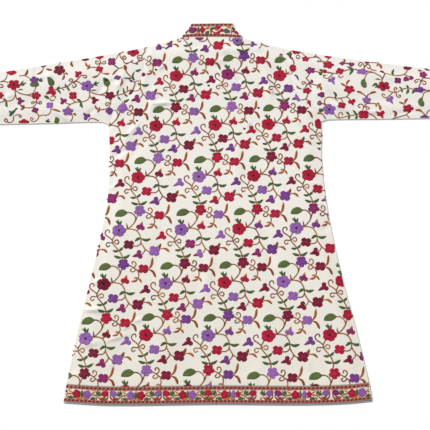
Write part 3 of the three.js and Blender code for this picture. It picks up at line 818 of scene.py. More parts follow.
    def stem_mesh(self, finish):
        lines = [part for part, _ in self.stems]
        plan = np.concatenate(lines)
        colours = np.concatenate([np.tile([*c, 1], (len(part), 1)) for part, c in self.stems])
        facing = np.tile([0.0, 0.0, self.up], (len(plan), 1))
        mesh = line_mesh(self.name, self.surface(plan, -0.1), [len(line) for line in lines], facing)
        add_dye(mesh, colours)
        link, spacing = (CHAIN_LINK, 1) if self.up > 0 else (LONG_LINK, 2)
        return grown(self.name + "_stems", mesh, LINKS_ON_LINES, finish,
                     {"Link": link, "Spacing": spacing * LINK_PITCH * MM, "Unevenness": 0.09,
                      "Height": self.relief})


def add_dye(mesh, colours):
    mesh.color_attributes.new("dye", "FLOAT_COLOR", "POINT").data.foreach_set(
        "color", np.ravel(colours))


def line_mesh(name, points, counts, facing):
    """Lines for stitches to follow: all their points, how many each line has, and the way
    that each point faces."""
    ends = set(np.cumsum(counts))
    edges = [(i, i + 1) for i in range(len(points) - 1) if i + 1 not in ends]
    mesh = bpy.data.meshes.new(name + "_lines")
    mesh.from_pydata((points * MM).tolist(), edges, [])
    mesh.attributes.new("facing", "FLOAT_VECTOR", "POINT").data.foreach_set(
        "vector", np.ravel(facing))
    return mesh


def link_template(name, points, faces):
    """A small shape that a tree repeats. It isn't shown itself."""
    mesh = bpy.data.meshes.new(name)
    mesh.from_pydata((np.array(points, float) * MM).tolist(), [], faces)
    mesh.polygons.foreach_set("use_smooth", [True] * len(mesh.polygons))
    return bpy.data.objects.new(name, mesh)


def chain_link(stretch=1.0):
    """One link of chain stitch along +X: an oval loop with a groove down its middle."""
    across = np.array([-1.0, -0.55, 0.0, 0.55, 1.0])
    lift = np.array([-0.1, 0.75, 0.62, 0.75, -0.1])
    points = [(-2.0, 0, 0.25)]
    for x, half in ((-0.7, 1.95), (0.9, 2.35)):
        points += [(x, half * a, h) for a, h in zip(across, lift)]
    points.append((2.0, 0, 0.15))
    faces = [(0, 2 + i, 1 + i) for i in range(4)] + [(0, 1, 5)]
    faces += [(1 + i, 2 + i, 7 + i, 6 + i)[::-1] for i in range(4)] + [(1, 6, 10, 5)]
    faces += [(11, 6 + i, 7 + i) for i in range(4)] + [(11, 10, 6)]
    return link_template("chain_link", [(x * stretch, y, z) for x, y, z in points], faces)


CHAIN_LINK = chain_link()
LONG_LINK = chain_link(2.0)


class Tree:
    """A Geometry Nodes tree with named inputs."""

    def __init__(self, name, inputs):
        self.tree = bpy.data.node_groups.new(name, "GeometryNodeTree")
        sockets = self.tree.interface
        sockets.new_socket("Geometry", in_out="INPUT", socket_type="NodeSocketGeometry")
        sockets.new_socket("Geometry", in_out="OUTPUT", socket_type="NodeSocketGeometry")
        for socket, kind in inputs.items():
            sockets.new_socket(socket, in_out="INPUT", socket_type="NodeSocket" + kind)
        self.given = self.tree.nodes.new("NodeGroupInput").outputs
        self.result = self.tree.nodes.new("NodeGroupOutput").inputs

    def node(self, kind, settings=None, inputs=None):
        node = self.tree.nodes.new(kind)
        for name, value in (settings or {}).items():
            setattr(node, name, value)
        for key, value in (inputs or {}).items():
            if isinstance(value, bpy.types.NodeSocket):
                self.tree.links.new(value, node.inputs[key])
            else:
                node.inputs[key].default_value = value
        return node.outputs

    def finish(self, geometry, material):
        real = self.node("GeometryNodeRealizeInstances", {}, {"Geometry": geometry})
        made = self.node("GeometryNodeSetMaterial", {}, {"Geometry": real[0], "Material": material})
        self.tree.links.new(made[0], self.result["Geometry"])
        return self.tree


def links_on_lines():
    """One shape repeated end to end along every line of a mesh, upright to its facing."""
    t = Tree("links_on_lines", {"Link": "Object", "Spacing": "Float", "Unevenness": "Float",
                                "Height": "Float", "Finish": "Material"})
    curve = t.node("GeometryNodeMeshToCurve", {}, {"Mesh": t.given["Geometry"]})
    even = t.node("GeometryNodeResampleCurve", {"mode": "LENGTH"},
                  {"Curve": curve[0], "Length": t.given["Spacing"]})
    link = t.node("GeometryNodeObjectInfo", {}, {"Object": t.given["Link"]})
    facing = t.node("GeometryNodeInputNamedAttribute", {"data_type": "FLOAT_VECTOR"},
                    {"Name": "facing"})
    upright = t.node("FunctionNodeAlignEulerToVector", {"axis": "Z"}, {"Vector": facing[0]})
    tangent = t.node("GeometryNodeInputTangent")
    turn = t.node("FunctionNodeAlignEulerToVector", {"axis": "X", "pivot_axis": "Z"},
                  {"Rotation": upright[0], "Vector": tangent[0]})
    least = t.node("ShaderNodeMath", {"operation": "SUBTRACT"}, {0: 1.0, 1: t.given["Unevenness"]})
    most = t.node("ShaderNodeMath", {"operation": "ADD"}, {0: 1.0, 1: t.given["Unevenness"]})
    varied = t.node("FunctionNodeRandomValue", {"data_type": "FLOAT"},
                    {"Min": least[0], "Max": most[0], "Seed": 4})
    size = t.node("ShaderNodeCombineXYZ", {}, {"X": 1.0, "Y": varied["Value"],
                                               "Z": t.given["Height"]})
    links = t.node("GeometryNodeInstanceOnPoints", {},
                   {"Points": even[0], "Instance": link["Geometry"], "Rotation": turn[0],
                    "Scale": size[0]})
    return t.finish(links[0], t.given["Finish"])


LINKS_ON_LINES = links_on_lines()


def grown(name, mesh, tree, finish, inputs):
    """What a tree makes of a mesh, as a plain piece."""
    source = bpy.data.objects.new(name, mesh)
    bpy.context.collection.objects.link(source)
    modifier = source.modifiers.new("grow", "NODES")
    modifier.node_group = tree
    identifiers = {item.name: item.identifier for item in tree.interface.items_tree}
    for socket, value in {**inputs, "Finish": finish}.items():
        modifier[identifiers[socket]] = value
    depsgraph = bpy.context.evaluated_depsgraph_get()
    made = bpy.data.meshes.new_from_object(source.evaluated_get(depsgraph), depsgraph=depsgraph)
    source.modifiers.remove(modifier)
    source.data = made
    made.name = name
    return source


def thread_finish(name, bump):
    finish = Finish(name, Roughness=0.7, Specular_IOR_Level=0.25)
    colour = finish.node("ShaderNodeVertexColor", {"layer_name": "dye"})
    fibre = finish.noise(900.0, 3.0)
    patch = finish.noise(90.0, 2.0)
    tone = finish.blend(fibre * 0.3, colour, (0.6, 0.55, 0.5), "MULTIPLY")
    tone = finish.blend(patch * 0.16, tone, (0.05, 0.03, 0.03))
    finish.colour(tone).roughness(0.58 + 0.25 * fibre)
    finish.bump(fibre + bump(finish), 0.0003)
    return finish.material


def stitched(finish):
    """Bump of the stitches along each row of a filled shape."""
    rows = finish.node("ShaderNodeUVMap", {"uv_map": "rows"})
    place = finish.node("ShaderNodeMapping", {}, {"Vector": rows, "Scale": (0.42, 0.5, 1.0)})
    stitch = finish.node("ShaderNodeTexWave", {"bands_direction": "DIAGONAL",
                                               "wave_profile": "SAW"},
                         {"Vector": place, "Scale": 0.9, "Distortion": 0.3})
    return stitch * 0.8


filled_thread = thread_finish("filled_chain_stitch", stitched)
stem_thread = thread_finish("stem_chain_stitch", lambda finish: finish.noise(1600.0) * 0.5)


def bell(work, middle, tip, size, thread, tip_thread=None):
    """A small flower of three petals, one of them drawn out to a point."""
    (x, y), (tip_x, tip_y) = middle, tip
    reach = math.hypot(tip_x - x, tip_y - y)
    way_x, way_y = (tip_x - x) / reach, (tip_y - y) / reach
    back = size * 0.5
    work.stroke([(x - way_x * back, y - way_y * back), (x, y), (tip_x, tip_y)], size * 1.05, thread,
                0.42, end_thread=tip_thread, ending_at=0.68)
    for aside in (-1, 1):
        work.blossom((x - way_x * size * 0.2 - way_y * aside * size * 0.55,
                      y - way_y * size * 0.2 + way_x * aside * size * 0.55),
                     (size * 0.6, size * 0.6), 2, 0.4, thread, depth=0.06)


# The body's pattern: a lattice of large flowers, each with its spray. Rows from above the
# shoulders to the hem give the height, the first flower's place, the pitch to its right
# and the pitch to its left.
ROWS = np.arange(-1, 7)
row_y = through(list(zip(ROWS, (500, 361.7, 223.7, 83.7, -57.6, -197.5, -335.9, -475))))
row_x = through(list(zip(ROWS, (78, 41.2, 4.3, -40.5, -87.7, -130.2, -183, -235))))
row_right = through(list(zip(ROWS, (138, 140.2, 142.6, 145.5, 150.8, 153, 158.1, 160))))
row_left = through(list(zip(ROWS, (141, 142.6, 158.1, 161.1, 163.8, 160.2, 152.9, 155))))
LARGE = {(-1, 0): "c", (0, 0): "p", (1, 0): "c", (-1, 1): "c", (0, 1): "c", (1, 1): "c",
         (-1, 2): "c", (0, 2): "l", (1, 2): "c", (2, 2): "c", (-1, 3): "l", (0, 3): "l",
         (1, 3): "c", (2, 3): "l", (-1, 4): "m", (0, 4): "l", (1, 4): "c", (2, 4): "l",
         (3, 4): "c", (-1, 5): "l", (0, 5): "c", (1, 5): "l", (2, 5): "c", (3, 5): "c"}

# Each row of a chart ends in the x and y of its points, in turn.
SPRAY_STEMS = [
    (15, 2, 20.5, 3.6, 31, 12, 39.5, 23, 44, 34, 46, 44),
    (39.5, 23, 40.5, 32, 36, 40, 28, 45.5, 17, 46.5),
    (50, 48, 60.8, 48.1, 73.8, 41.6, 84.5, 33.3),
    (73.8, 41.6, 79, 45, 81, 51, 76.8, 57, 71, 55.5, 71.8, 51),
    (80, 36.5, 75, 31.5, 69, 31, 66, 35, 69.5, 38),
    (98, 37, 110.8, 36.1),
    (84.5, 33.3, 87, 22, 84.5, 13.5),
    (20.5, 3.6, 31.2, 2.9, 42.4, -0.8, 49.4, -10, 52.8, -21, 52.8, -31.7, 59.3, -44.5, 64, -51,
     71, -55.5, 80, -57.5),
    (42.4, -0.8, 48, 2, 52, 4),
    (52.8, -31.7, 49, -38, 42, -41, 31, -40),
    (61.9, -49, 59.5, -56, 54, -62),
    (95, -50, 101, -48, 106, -48.4),
    (-11, -13, -17, -24.7, -17, -31.7, -9.9, -41.6, -1.3, -52.8, 4.2, -64, 6.2, -75.4, 5.5, -82),
    (-17, -25, -25, -18, -34, -11.5, -36.5, -4, -32, 2, -26, 1.5, -25, -4),
    (-17, -31, -23, -32, -30, -31, -34, -36, -30, -42, -25, -39),
    (-16, -32, -12, -28, -6, -24, -1, -29, -4, -35, -9.5, -33),
]
# Buds, tips and small leaves: width, thread, place of the widest part and points.
SPRAY_STROKES = [
    (3.8, "k", 0.45, 20.5, 2.5, 20, 9, 18.5, 19),
    (6.2, "b", 0.76, 110, 36.5, 118, 47, 122, 67),
    (6.4, "k", 0.76, 110, 36, 121, 31, 128, 15),
    (5.4, "b", 0.62, 85, 14.5, 79, 8, 67, 5.5),
    (4.2, "t", 0.6, 84.5, 14, 80, 15.5, 74, 14.5),
    (5.2, "b", 0.6, 85, 14, 89, 10, 93.5, 2.5),
    (7.2, "d", 0.5, 52.8, -21, 46, -22, 37.5, -29),
    (7.2, "d", 0.6, 52.8, -21, 64, -26, 77.5, -22.5),
    (6.2, "d", 0.55, -2.4, -52, -9, -53.5, -18, -52),
    (6.2, "d", 0.55, -2.4, -52, 3, -49, 8.5, -43),
    (7.0, "d", 0.55, 4.6, -70, -5, -69.5, -15, -65),
    (7.0, "d", 0.55, 4.6, -70, 14, -69.5, 24.5, -62.5),
    (5.2, "d", 0.55, -0.5, 13, -3, 19, -10, 25.5),
    (5.2, "d", 0.55, -0.5, 13, -2, 20, -4, 29),
    (5.2, "d", 0.55, -0.5, 13, 3, 19, 6, 26),
    (7.0, "k", 0.55, 92, -49, 97, -43, 101, -35),
    (6.0, "b", 0.72, 104, -48, 112, -49, 121, -57),
]
# Flowers: part of the spray, middle, half width and height, lobes, turn and depth of the
# notches. Bells: part, middle, size, tip and the tip's thread.
SPRAY_BLOSSOMS = [
    ("upper_right", (50, 50.5), (15.8, 15.2), 5, 0.32, 0.33),
    ("far_right", (98, 38), (15.2, 13.2), 4, 0.22, 0.36),
    ("lower_right", (84.5, -54), (16.4, 15.0), 4, 0.2, 0.34),
    ("below", (22.5, -37), (15.6, 13.4), 4, 0.2, 0.38),
]
SPRAY_BELLS = [
    ("right", (53, 9), 10.4, (57, 23), "o"),
    ("lowest", (46, -63), 10.6, (30, -68), "m"),
    ("left", (-47, -15), 10.6, (-64, -24.5), None),
]
# The charted spray was measured on a lattice with this pitch down and across, and this lean.
CHART_DROP, CHART_PITCH, CHART_LEAN = 137.8, 152, 0.3113
# Sprays that lie a little beside their place in the lattice, by cell and row.
NUDGES = {(2, 6): (3, -5.5), (3, 6): (1.5, -9), (0, 5): (1, 7), (1, 5): (3, 3),
          (-1, 6): (-3, 0), (0, 6): (0, 5), (1, 6): (-1, 4.5), (-1, 0): (3, 0),
          (0, 0): (0, 3), (1, 0): (0, -2.5)}


def in_pairs(numbers):
    """The points of a charted line, from its row of x and y in turn."""
    return list(zip(numbers[::2], numbers[1::2]))


def on_body(cell, row, point):
    """Where a point of a spray lies: the lattice widens towards the hem."""
    x, y = np.array(point) + NUDGES.get((cell, row), (0, 0))
    at = row - y / CHART_DROP
    along = cell + (x - CHART_LEAN * y) / CHART_PITCH
    near, left, right = row_x(at), row_left(at), row_right(at)
    out = np.where(along >= 0, along * right,
                   np.where(along > -1, along * left, (along + 1) * right - left))
    return float(near + out), float(row_y(at))


# Threads of the flowers that show, by row, from the second cell left of the middle one. A
# dot leaves the thread to chance, and a dash leaves the flower out.
FLOWERS = {
    "upper_right": {0: "plv", 1: "lmlp", 3: ".lc", 4: ".vm", 5: ".ccv", 6: ".mlclc"},
    "far_right": {0: "pcc", 1: "mlm", 3: ".cl", 4: ".cm", 5: ".cv", 6: ".pmvmv"},
    "lower_right": {-1: "-c-", 0: "lcc", 2: "pmc", 3: ".lm", 4: ".ml", 5: ".lm"},
    "below": {-1: ".--", 0: ".mlv", 2: ".cl", 3: ".mp", 4: ".vc", 5: ".mlc"},
    "lowest": {-1: "-v-", 0: "ppp", 2: ".vc", 3: ".pl", 4: ".pp", 5: ".pm"},
    "left": {0: ".cmv", 3: ".pcl", 4: "..ml", 5: "..lm"},
    "right": {0: ".pm", 1: "cccc", 3: ".pc", 4: ".cm", 5: ".ml"},
}


def thread_of(part, cell, row, weights="ccclllmmpvc"):
    """The thread of one flower of a spray: as it shows, or else by chance."""
    spare = weights[int(chance.integers(len(weights)))]
    shown = FLOWERS[part].get(row, "")
    seen = 0 <= cell + 2 < len(shown) and shown[cell + 2] != "."
    return shown[cell + 2] if seen else spare


def spray(work, cell, row, where):
    """One large flower with all that grows from it. `where` gives each point's place."""
    for numbers in SPRAY_STEMS:
        work.stem([where(p) for p in in_pairs(numbers)], "bbtbok"[int(chance.integers(6))])
    for width, thread, swell, *numbers in SPRAY_STROKES:
        work.stroke([where(p) for p in in_pairs(numbers)], width, thread, swell)
    work.stroke([where(p) for p in ((20, 45.5), (8, 45.5), (-3, 42.5), (-12, 37))], 18.5, "g",
                0.42, ribs=4)
    large = LARGE.get((cell, row)) or "clcm"[int(chance.integers(4))]
    work.blossom(where((0, 0)), (19.2, 17.0), 5, -1.25, large, eye=True, depth=0.17)
    for part, centre, size, lobes, turn, depth in SPRAY_BLOSSOMS:
        thread = thread_of(part, cell, row)
        if thread != "-":
            work.blossom(where(centre), size, lobes, math.pi * turn, thread, depth=depth)
    for part, centre, size, tip, tip_thread in SPRAY_BELLS:
        thread = thread_of(part, cell, row, "cclmpvv")
        if thread != "-":
            bell(work, where(centre), where(tip), size, thread, tip_thread)


def body_room(at):
    x, y = at[..., 0], at[..., 1]
    side = np.minimum(x - side_x["left"](y), side_x["right"](y) - x)
    low, high = y - hem_y(x) - BAND_HEIGHT, top_y(x) - y
    for key, outward in OUTWARD.items():
        line = path_at(ARMHOLES[key], np.linspace(0, 1, 40))
        seam = np.interp(y, line[:, 1], line[:, 0], right=line[-1, 0])
        side = np.where(y > UNDERARM_Y, np.minimum(side, outward * (seam - x)), side)
    return np.minimum(np.minimum(side, low), high) - STITCH_MARGIN


# The sleeves' patterns, charted flower by flower: thread and points of each stem; width,
# thread, place of the widest part and points of each leaf or bud; thread, middle, half
# width, half height, lobes and turn of each flower, or the tip of a bell. A flower with a
# dark eye has its number of lobes written as negative.
LEFT_SLEEVE_STEMS = [
    ("b", -257, 387, -254, 385, -249, 386, -244, 387),
    ("b", -239, 435, -247, 430, -251, 428, -250, 419, -243, 409, -236, 399, -229, 400),
    ("o", -251, 429, -257, 422, -260, 414),
    ("t", -245, 415, -243, 420, -237, 420, -234, 415, -237, 410, -241, 412, -240, 416),
    ("b", -177, 446, -184, 440, -183, 434, -186, 428, -191, 421),
    ("b", -177, 428, -181, 418, -188, 410, -195, 406, -202, 411, -203, 419, -196, 422, -191, 418,
     -192, 413, -197, 413, -199, 416),
    ("b", -195, 406, -202, 403, -208, 398, -215, 400, -221, 403, -216, 407),
    ("b", -235, 380, -232, 374, -227, 367, -219, 360),
    ("b", -212, 347, -210, 341, -213, 332, -216, 325, -223, 323, -229, 322),
    ("t", -210, 343, -208, 348, -201, 349, -197, 345),
    ("t", -264, 308, -249, 312, -238, 315, -230, 321, -222, 323, -215, 325),
    ("b", -222, 403, -227, 400, -233, 397),
    ("b", -533, 329, -532, 316, -527, 303, -521, 300),
    ("t", -532, 318, -534, 309, -542, 300, -555, 298, -565, 297, -573, 294),
    ("t", -533, 329, -522, 320, -501, 314, -487, 311),
    ("t", -501, 314, -485, 319, -478, 333, -478, 338),
    ("b", -475, 302, -475, 295, -479, 285, -488, 279, -506, 279),
    ("t", -476, 294, -483, 296, -489, 293, -486, 289, -482, 292),
    ("b", -475, 295, -468, 289, -462, 290, -463, 296, -468, 296, -467, 292),
    ("t", -476, 266, -470, 260, -468, 255, -472, 246, -481, 241, -489, 244, -490, 250, -486, 252,
     -484, 247),
    ("t", -468, 255, -459, 258, -446, 258, -437, 265, -435, 275),
    ("b", -357, 344, -366, 350, -378, 347, -393, 336, -403, 333, -426, 328),
    ("b", -378, 349, -379, 356, -385, 357, -387, 352, -382, 350),
    ("b", -376, 348, -364, 356, -357, 365, -347, 367, -340, 364, -343, 359, -349, 362),
    ("b", -375, 346, -369, 341, -370, 335, -377, 334, -378, 338),
    ("t", -333, 323, -332, 309, -337, 299, -352, 293, -369, 292, -384, 286, -390, 280),
    ("b", -369, 293, -375, 296, -378, 301),
    ("t", -384, 287, -394, 289, -399, 293),
    ("t", -333, 323, -323, 317, -306, 312, -289, 309),
    ("t", -306, 312, -291, 316, -284, 324, -283, 334),
    ("b", -332, 309, -328, 304, -323, 299),
    ("b", -275, 297, -276, 286, -280, 276, -289, 272, -304, 270),
    ("b", -276, 286, -284, 290, -289, 286, -285, 280, -282, 284),
    ("t", -379, 257, -377, 250, -382, 241),
    ("b", -335, 242, -330, 247, -319, 246, -309, 241),
    ("b", -556, 372, -560, 359, -571, 353, -575, 352),
    ("b", -554, 350, -564, 353, -575, 352),
    ("b", -574, 344, -568, 344, -566, 339, -569, 336, -574, 337),
    ("t", -522, 368, -509, 369, -496, 362),
    ("t", -459, 392, -460, 385, -467, 376),
    ("b", -306, 415, -304, 403, -308, 391),
    ("b", -305, 401, -312, 398, -317, 402, -315, 408, -310, 405),
    ("b", -303, 402, -295, 398, -289, 402, -292, 407, -297, 404),
    ("b", -316, 389, -326, 389, -334, 390),
    ("b", -304, 376, -309, 367, -316, 363),
    ("t", -304, 375, -297, 372, -289, 371),
    ("b", -536, 256, -536, 247, -541, 240, -551, 240, -560, 244, -559, 249, -554, 249, -552, 244),
    ("t", -531, 258, -523, 260, -516, 258, -516, 253, -521, 255),
    ("t", -435, 337, -437, 330),
    ("t", -422, 328, -431, 326),
    ("t", -413, 404, -417, 397),
    ("b", -404, 374, -400, 366, -403, 358),
]
LEFT_SLEEVE_STROKES = [
    (4, "d", 0.5, -266, 396, -262, 391, -257, 388),
    (5, "b", 0.7, -253, 385, -263, 377, -271, 367),
    (9.5, "k", 0.5, -240, 395, -236, 387, -237, 379),
    (4, "m", 0.5, -202, 441, -196, 442, -188, 444),
    (6, "v", 0.4, -202, 401, -205, 398, -202, 395),
    (4.4, "d", 0.5, -218, 357, -227, 357, -242, 357),
    (5, "d", 0.4, -215, 355, -216, 365, -211, 376),
    (6.5, "d", 0.45, -209, 377, -202, 378, -193, 382),
    (6.5, "d", 0.6, -217, 361, -214, 355, -214, 350),
    (6.5, "v", 0.55, -226, 354, -221, 350, -215, 346),
    (5.5, "b", 0.6, -247, 357, -244, 347, -250, 335),
    (5.5, "d", 0.5, -201, 341, -191, 338, -181, 342),
    (4, "b", 0.6, -230, 323, -231, 330, -230, 336),
    (5, "d", 0.55, -258, 310, -257, 317, -253, 325),
    (5, "d", 0.5, -257, 307, -253, 302, -248, 296),
    (5, "d", 0.5, -239, 314, -240, 321, -241, 330),
    (5, "d", 0.5, -239, 313, -234, 309, -229, 306),
    (7, "m", 0.55, -214, 325, -220, 318, -227, 310),
    (3.4, "d", 0.5, -525, 328, -518, 330, -511, 329),
    (4.4, "d", 0.5, -520, 344, -512, 345, -503, 349),
    (4, "d", 0.5, -520, 345, -515, 349, -511, 354),
    (4, "d", 0.5, -520, 344, -515, 342, -508, 342),
    (3.4, "d", 0.5, -328, 323, -322, 325, -313, 325),
    (4.4, "d", 0.5, -322, 342, -315, 343, -306, 347),
    (4, "d", 0.5, -322, 343, -317, 346, -314, 351),
    (4, "d", 0.5, -322, 342, -317, 339, -310, 338),
    (4, "d", 0.5, -471, 355, -464, 355, -457, 356),
    (3.6, "d", 0.5, -471, 355, -466, 358, -461, 361),
    (3.6, "d", 0.5, -471, 354, -465, 352, -459, 351),
    (5.5, "k", 0.6, -507, 279, -513, 282, -519, 288),
    (4.5, "k", 0.6, -508, 279, -509, 283, -509, 288),
    (5, "k", 0.6, -506, 279, -512, 276, -518, 274),
    (5.5, "b", 0.6, -305, 270, -313, 274, -318, 284),
    (4.5, "b", 0.6, -306, 270, -306, 274, -304, 278),
    (5, "b", 0.6, -304, 270, -308, 267, -311, 263),
    (6, "b", 0.7, -435, 274, -423, 271, -409, 266),
    (5, "d", 0.5, -394, 336, -397, 339, -398, 344),
    (5.5, "d", 0.5, -394, 336, -390, 330, -386, 323),
    (5, "d", 0.5, -421, 329, -418, 332, -412, 337),
    (5.5, "d", 0.5, -421, 328, -415, 324, -410, 316),
    (7.5, "d", 0.5, -354, 293, -355, 285, -350, 276),
    (6.5, "d", 0.5, -354, 293, -361, 298, -367, 301),
    (6.5, "d", 0.5, -555, 298, -556, 289, -553, 281),
    (5.5, "d", 0.5, -555, 298, -560, 302, -566, 306),
    (8, "d", 0.5, -455, 311, -448, 308, -441, 302),
    (3.4, "b", 0.5, -426, 302, -424, 308, -431, 311, -438, 307),
    (3.4, "b", 0.5, -438, 307, -438, 300, -431, 298, -426, 302),
    (6, "b", 0.6, -377, 260, -373, 260, -367, 256),
    (6, "b", 0.55, -401, 374, -396, 373, -391, 370),
    (6.5, "b", 0.6, -402, 369, -402, 363, -406, 354),
    (6.5, "k", 0.6, -381, 409, -383, 400, -377, 392),
    (5.5, "b", 0.6, -333, 390, -341, 395, -344, 405),
    (4.5, "b", 0.6, -334, 390, -334, 394, -334, 398),
    (5, "b", 0.6, -331, 389, -336, 387, -341, 385),
    (5.5, "b", 0.7, -308, 368, -315, 363, -326, 361),
    (5.5, "b", 0.7, -297, 372, -288, 370, -279, 371),
    (6.5, "k", 0.6, -510, 369, -504, 375, -501, 387),
    (6, "b", 0.6, -460, 385, -465, 377, -477, 372),
    (6.5, "k", 0.6, -452, 388, -444, 385, -434, 384),
    (9, "d", 0.5, -547, 256, -541, 264, -529, 275),
    (4, "n", 0.5, -533, 275, -528, 277, -525, 275),
    (5.5, "v", 0.5, -548, 272, -545, 268, -540, 265),
    (5, "d", 0.5, -451, 240, -445, 243, -440, 247),
    (4.5, "d", 0.5, -449, 240, -442, 240, -437, 241),
    (13, "g", 0.5, -427, 238, -419, 243, -423, 252),
    (17, "g", 0.42, -434, 337, -436, 349, -446, 363),
    (17, "g", 0.42, -284, 334, -286, 346, -295, 359),
    (3.6, "k", 0.5, -406, 328, -404, 328, -401, 326),
]
LEFT_SLEEVE_BLOSSOMS = [
    ("c", (-215, 433), 16.4, 14.0, -5, 270),
    ("c", (-175, 432), 4.8, 4.8, 4, 0),
    ("v", (-257, 359), 10.0, 6.8, 4, 20),
    ("c", (-537, 343), 17.2, 14.6, -5, -90),
    ("l", (-339, 337), 17.2, 14.8, -5, -70),
    ("c", (-476, 312), 12.4, 10.6, 5, 80),
    ("m", (-277, 309), 13.6, 11.6, 5, 60),
    ("g", (-481, 343), 12.0, 8.0, 2, 0),
    ("v", (-482, 356), 12.4, 10.4, 5, 100),
    ("c", (-435, 324), 12.4, 12.4, 3, (-450, 316)),
    ("c", (-377, 311), 11.6, 11.0, 4, 45),
    ("l", (-439, 285), 10.6, 9.4, 4, 45),
    ("p", (-478, 272), 9.6, 8.2, 4, 20),
    ("l", (-390, 267), 14.6, 11.6, 5, 90),
    ("m", (-415, 383), 15.6, 14.2, 5, 60),
    ("c", (-306, 384), 10.8, 8.8, 4, 30),
    ("c", (-308, 420), 12.5, 7.0, 4, 0),
    ("p", (-273, 405), 11.6, 12.0, 4, 45),
    ("m", (-346, 413), 12.0, 4.6, 4, 0),
    ("v", (-460, 398), 11.0, 6.0, 4, 0),
    ("c", (-545, 379), 14.0, 8.0, 4, 0),
    ("c", (-508, 239), 15.0, 9.0, 5, 90),
    ("c", (-573, 314), 10.0, 9.4, 5, 0),
    ("v", (-277, 266), 12.0, 9.4, 4, 0),
    ("m", (-319, 297), 9.4, 9.4, 3, (-306, 298)),
    ("p", (-519, 298), 9.4, 9.4, 3, (-506, 298)),
    ("c", (-364, 371), 9.6, 9.6, 3, (-372, 379)),
    ("p", (-403, 296), 9.0, 9.0, 3, (-411, 306)),
    ("v", (-340, 253), 9.6, 9.6, 3, (-349, 263)),
]
RIGHT_SLEEVE_STEMS = [
    ("k", 219, 386, 221, 394, 218, 403, 214, 411, 211, 415),
    ("o", 210, 425, 215, 427, 219, 428),
    ("b", 241, 424, 246, 420, 252, 413),
    ("b", 238, 411, 236, 415, 232, 416, 229, 414, 228, 409, 231, 406, 235, 406, 237, 410),
    ("t", 264, 409, 272, 409, 278, 412, 282, 417),
    ("t", 290, 407, 294, 403, 296, 398, 291, 397, 284, 396),
    ("t", 294, 397, 299, 397, 306, 396),
    ("b", 262, 362, 257, 355, 253, 351, 256, 346, 261, 341),
    ("b", 278, 369, 285, 367, 293, 365, 300, 366, 309, 366, 320, 365),
    ("t", 253, 334, 250, 339, 245, 341, 241, 338, 242, 334, 245, 333, 248, 336),
    ("b", 250, 324, 253, 330, 257, 333, 270, 333, 279, 330, 283, 328),
    ("b", 237, 291, 243, 290, 249, 292, 254, 299, 256, 306),
    ("b", 249, 292, 256, 288),
    ("b", 274, 254, 282, 252, 291, 251),
    ("b", 291, 279, 289, 275, 284, 275, 281, 279, 283, 283),
    ("b", 292, 279, 299, 277, 303, 273),
    ("b", 213, 363, 217, 368, 222, 370),
    ("b", 316, 406, 314, 401, 310, 397),
    ("t", 286, 366, 305, 366, 324, 363, 338, 362),
    ("t", 326, 363, 317, 352, 308, 349, 300, 353, 300, 358, 306, 357),
    ("b", 356, 369, 367, 372, 390, 373),
    ("t", 343, 358, 341, 353, 347, 350, 352, 354),
    ("t", 307, 273, 301, 279, 301, 290, 310, 296, 325, 294, 343, 293, 360, 297, 368, 306),
    ("t", 326, 294, 335, 286),
    ("t", 343, 292, 349, 284, 349, 279),
    ("t", 360, 297, 367, 291, 371, 285),
    ("t", 325, 250, 336, 239, 358, 243, 377, 246, 391, 249),
    ("t", 339, 239, 337, 250, 343, 254, 348, 251, 346, 247),
    ("b", 415, 278, 405, 268, 402, 257),
    ("b", 405, 268, 401, 275, 393, 275, 390, 270, 395, 266),
    ("b", 406, 268, 416, 268, 420, 263, 413, 260, 411, 265),
    ("b", 417, 277, 432, 277, 444, 275),
    ("b", 415, 296, 406, 303, 399, 307),
    ("b", 414, 296, 420, 303, 428, 306),
    ("t", 286, 366, 294, 367),
    ("b", 410, 376, 420, 389),
    ("b", 412, 380, 408, 391, 401, 393, 396, 386, 401, 382, 405, 387),
    ("b", 414, 383, 423, 387, 428, 381, 425, 375, 420, 378),
    ("t", 432, 393, 443, 392, 453, 391),
    ("b", 427, 375, 433, 371, 443, 369),
    ("t", 457, 339, 458, 347, 453, 353, 440, 361, 428, 364, 417, 359, 411, 347),
    ("b", 458, 343, 463, 353, 467, 360),
    ("t", 421, 368, 432, 365, 440, 361),
    ("t", 469, 360, 478, 357, 489, 354, 505, 354, 521, 359, 529, 371),
    ("t", 519, 356, 526, 354, 531, 350),
    ("t", 473, 312, 484, 308, 493, 307, 505, 312, 517, 317, 528, 318, 543, 314),
    ("b", 492, 308, 489, 314, 491, 320, 497, 319, 495, 315),
    ("t", 485, 307, 475, 298, 469, 293, 460, 295, 456, 301, 459, 304, 463, 301),
    ("b", 494, 306, 495, 298, 502, 293, 506, 298, 501, 300),
    ("t", 419, 249, 429, 245, 440, 234),
    ("t", 528, 252, 518, 245, 497, 239, 480, 235),
    ("t", 518, 245, 526, 238),
    ("b", 569, 347, 562, 335, 556, 321),
    ("b", 562, 335, 559, 341, 552, 342, 545, 337, 548, 333, 553, 336),
    ("b", 561, 334, 570, 338, 576, 332, 571, 327, 567, 330),
    ("b", 570, 346, 578, 346, 587, 345),
    ("t", 585, 309, 570, 305, 564, 292),
    ("t", 572, 312, 585, 311),
    ("b", 570, 243, 563, 251, 554, 256),
    ("b", 571, 243, 577, 253, 582, 257),
    ("t", 282, 254, 290, 253, 299, 242, 301, 238),
    ("t", 287, 400, 293, 398, 300, 396),
    ("b", 283, 278, 294, 279, 302, 277),
    ("b", 356, 397, 358, 393),
]
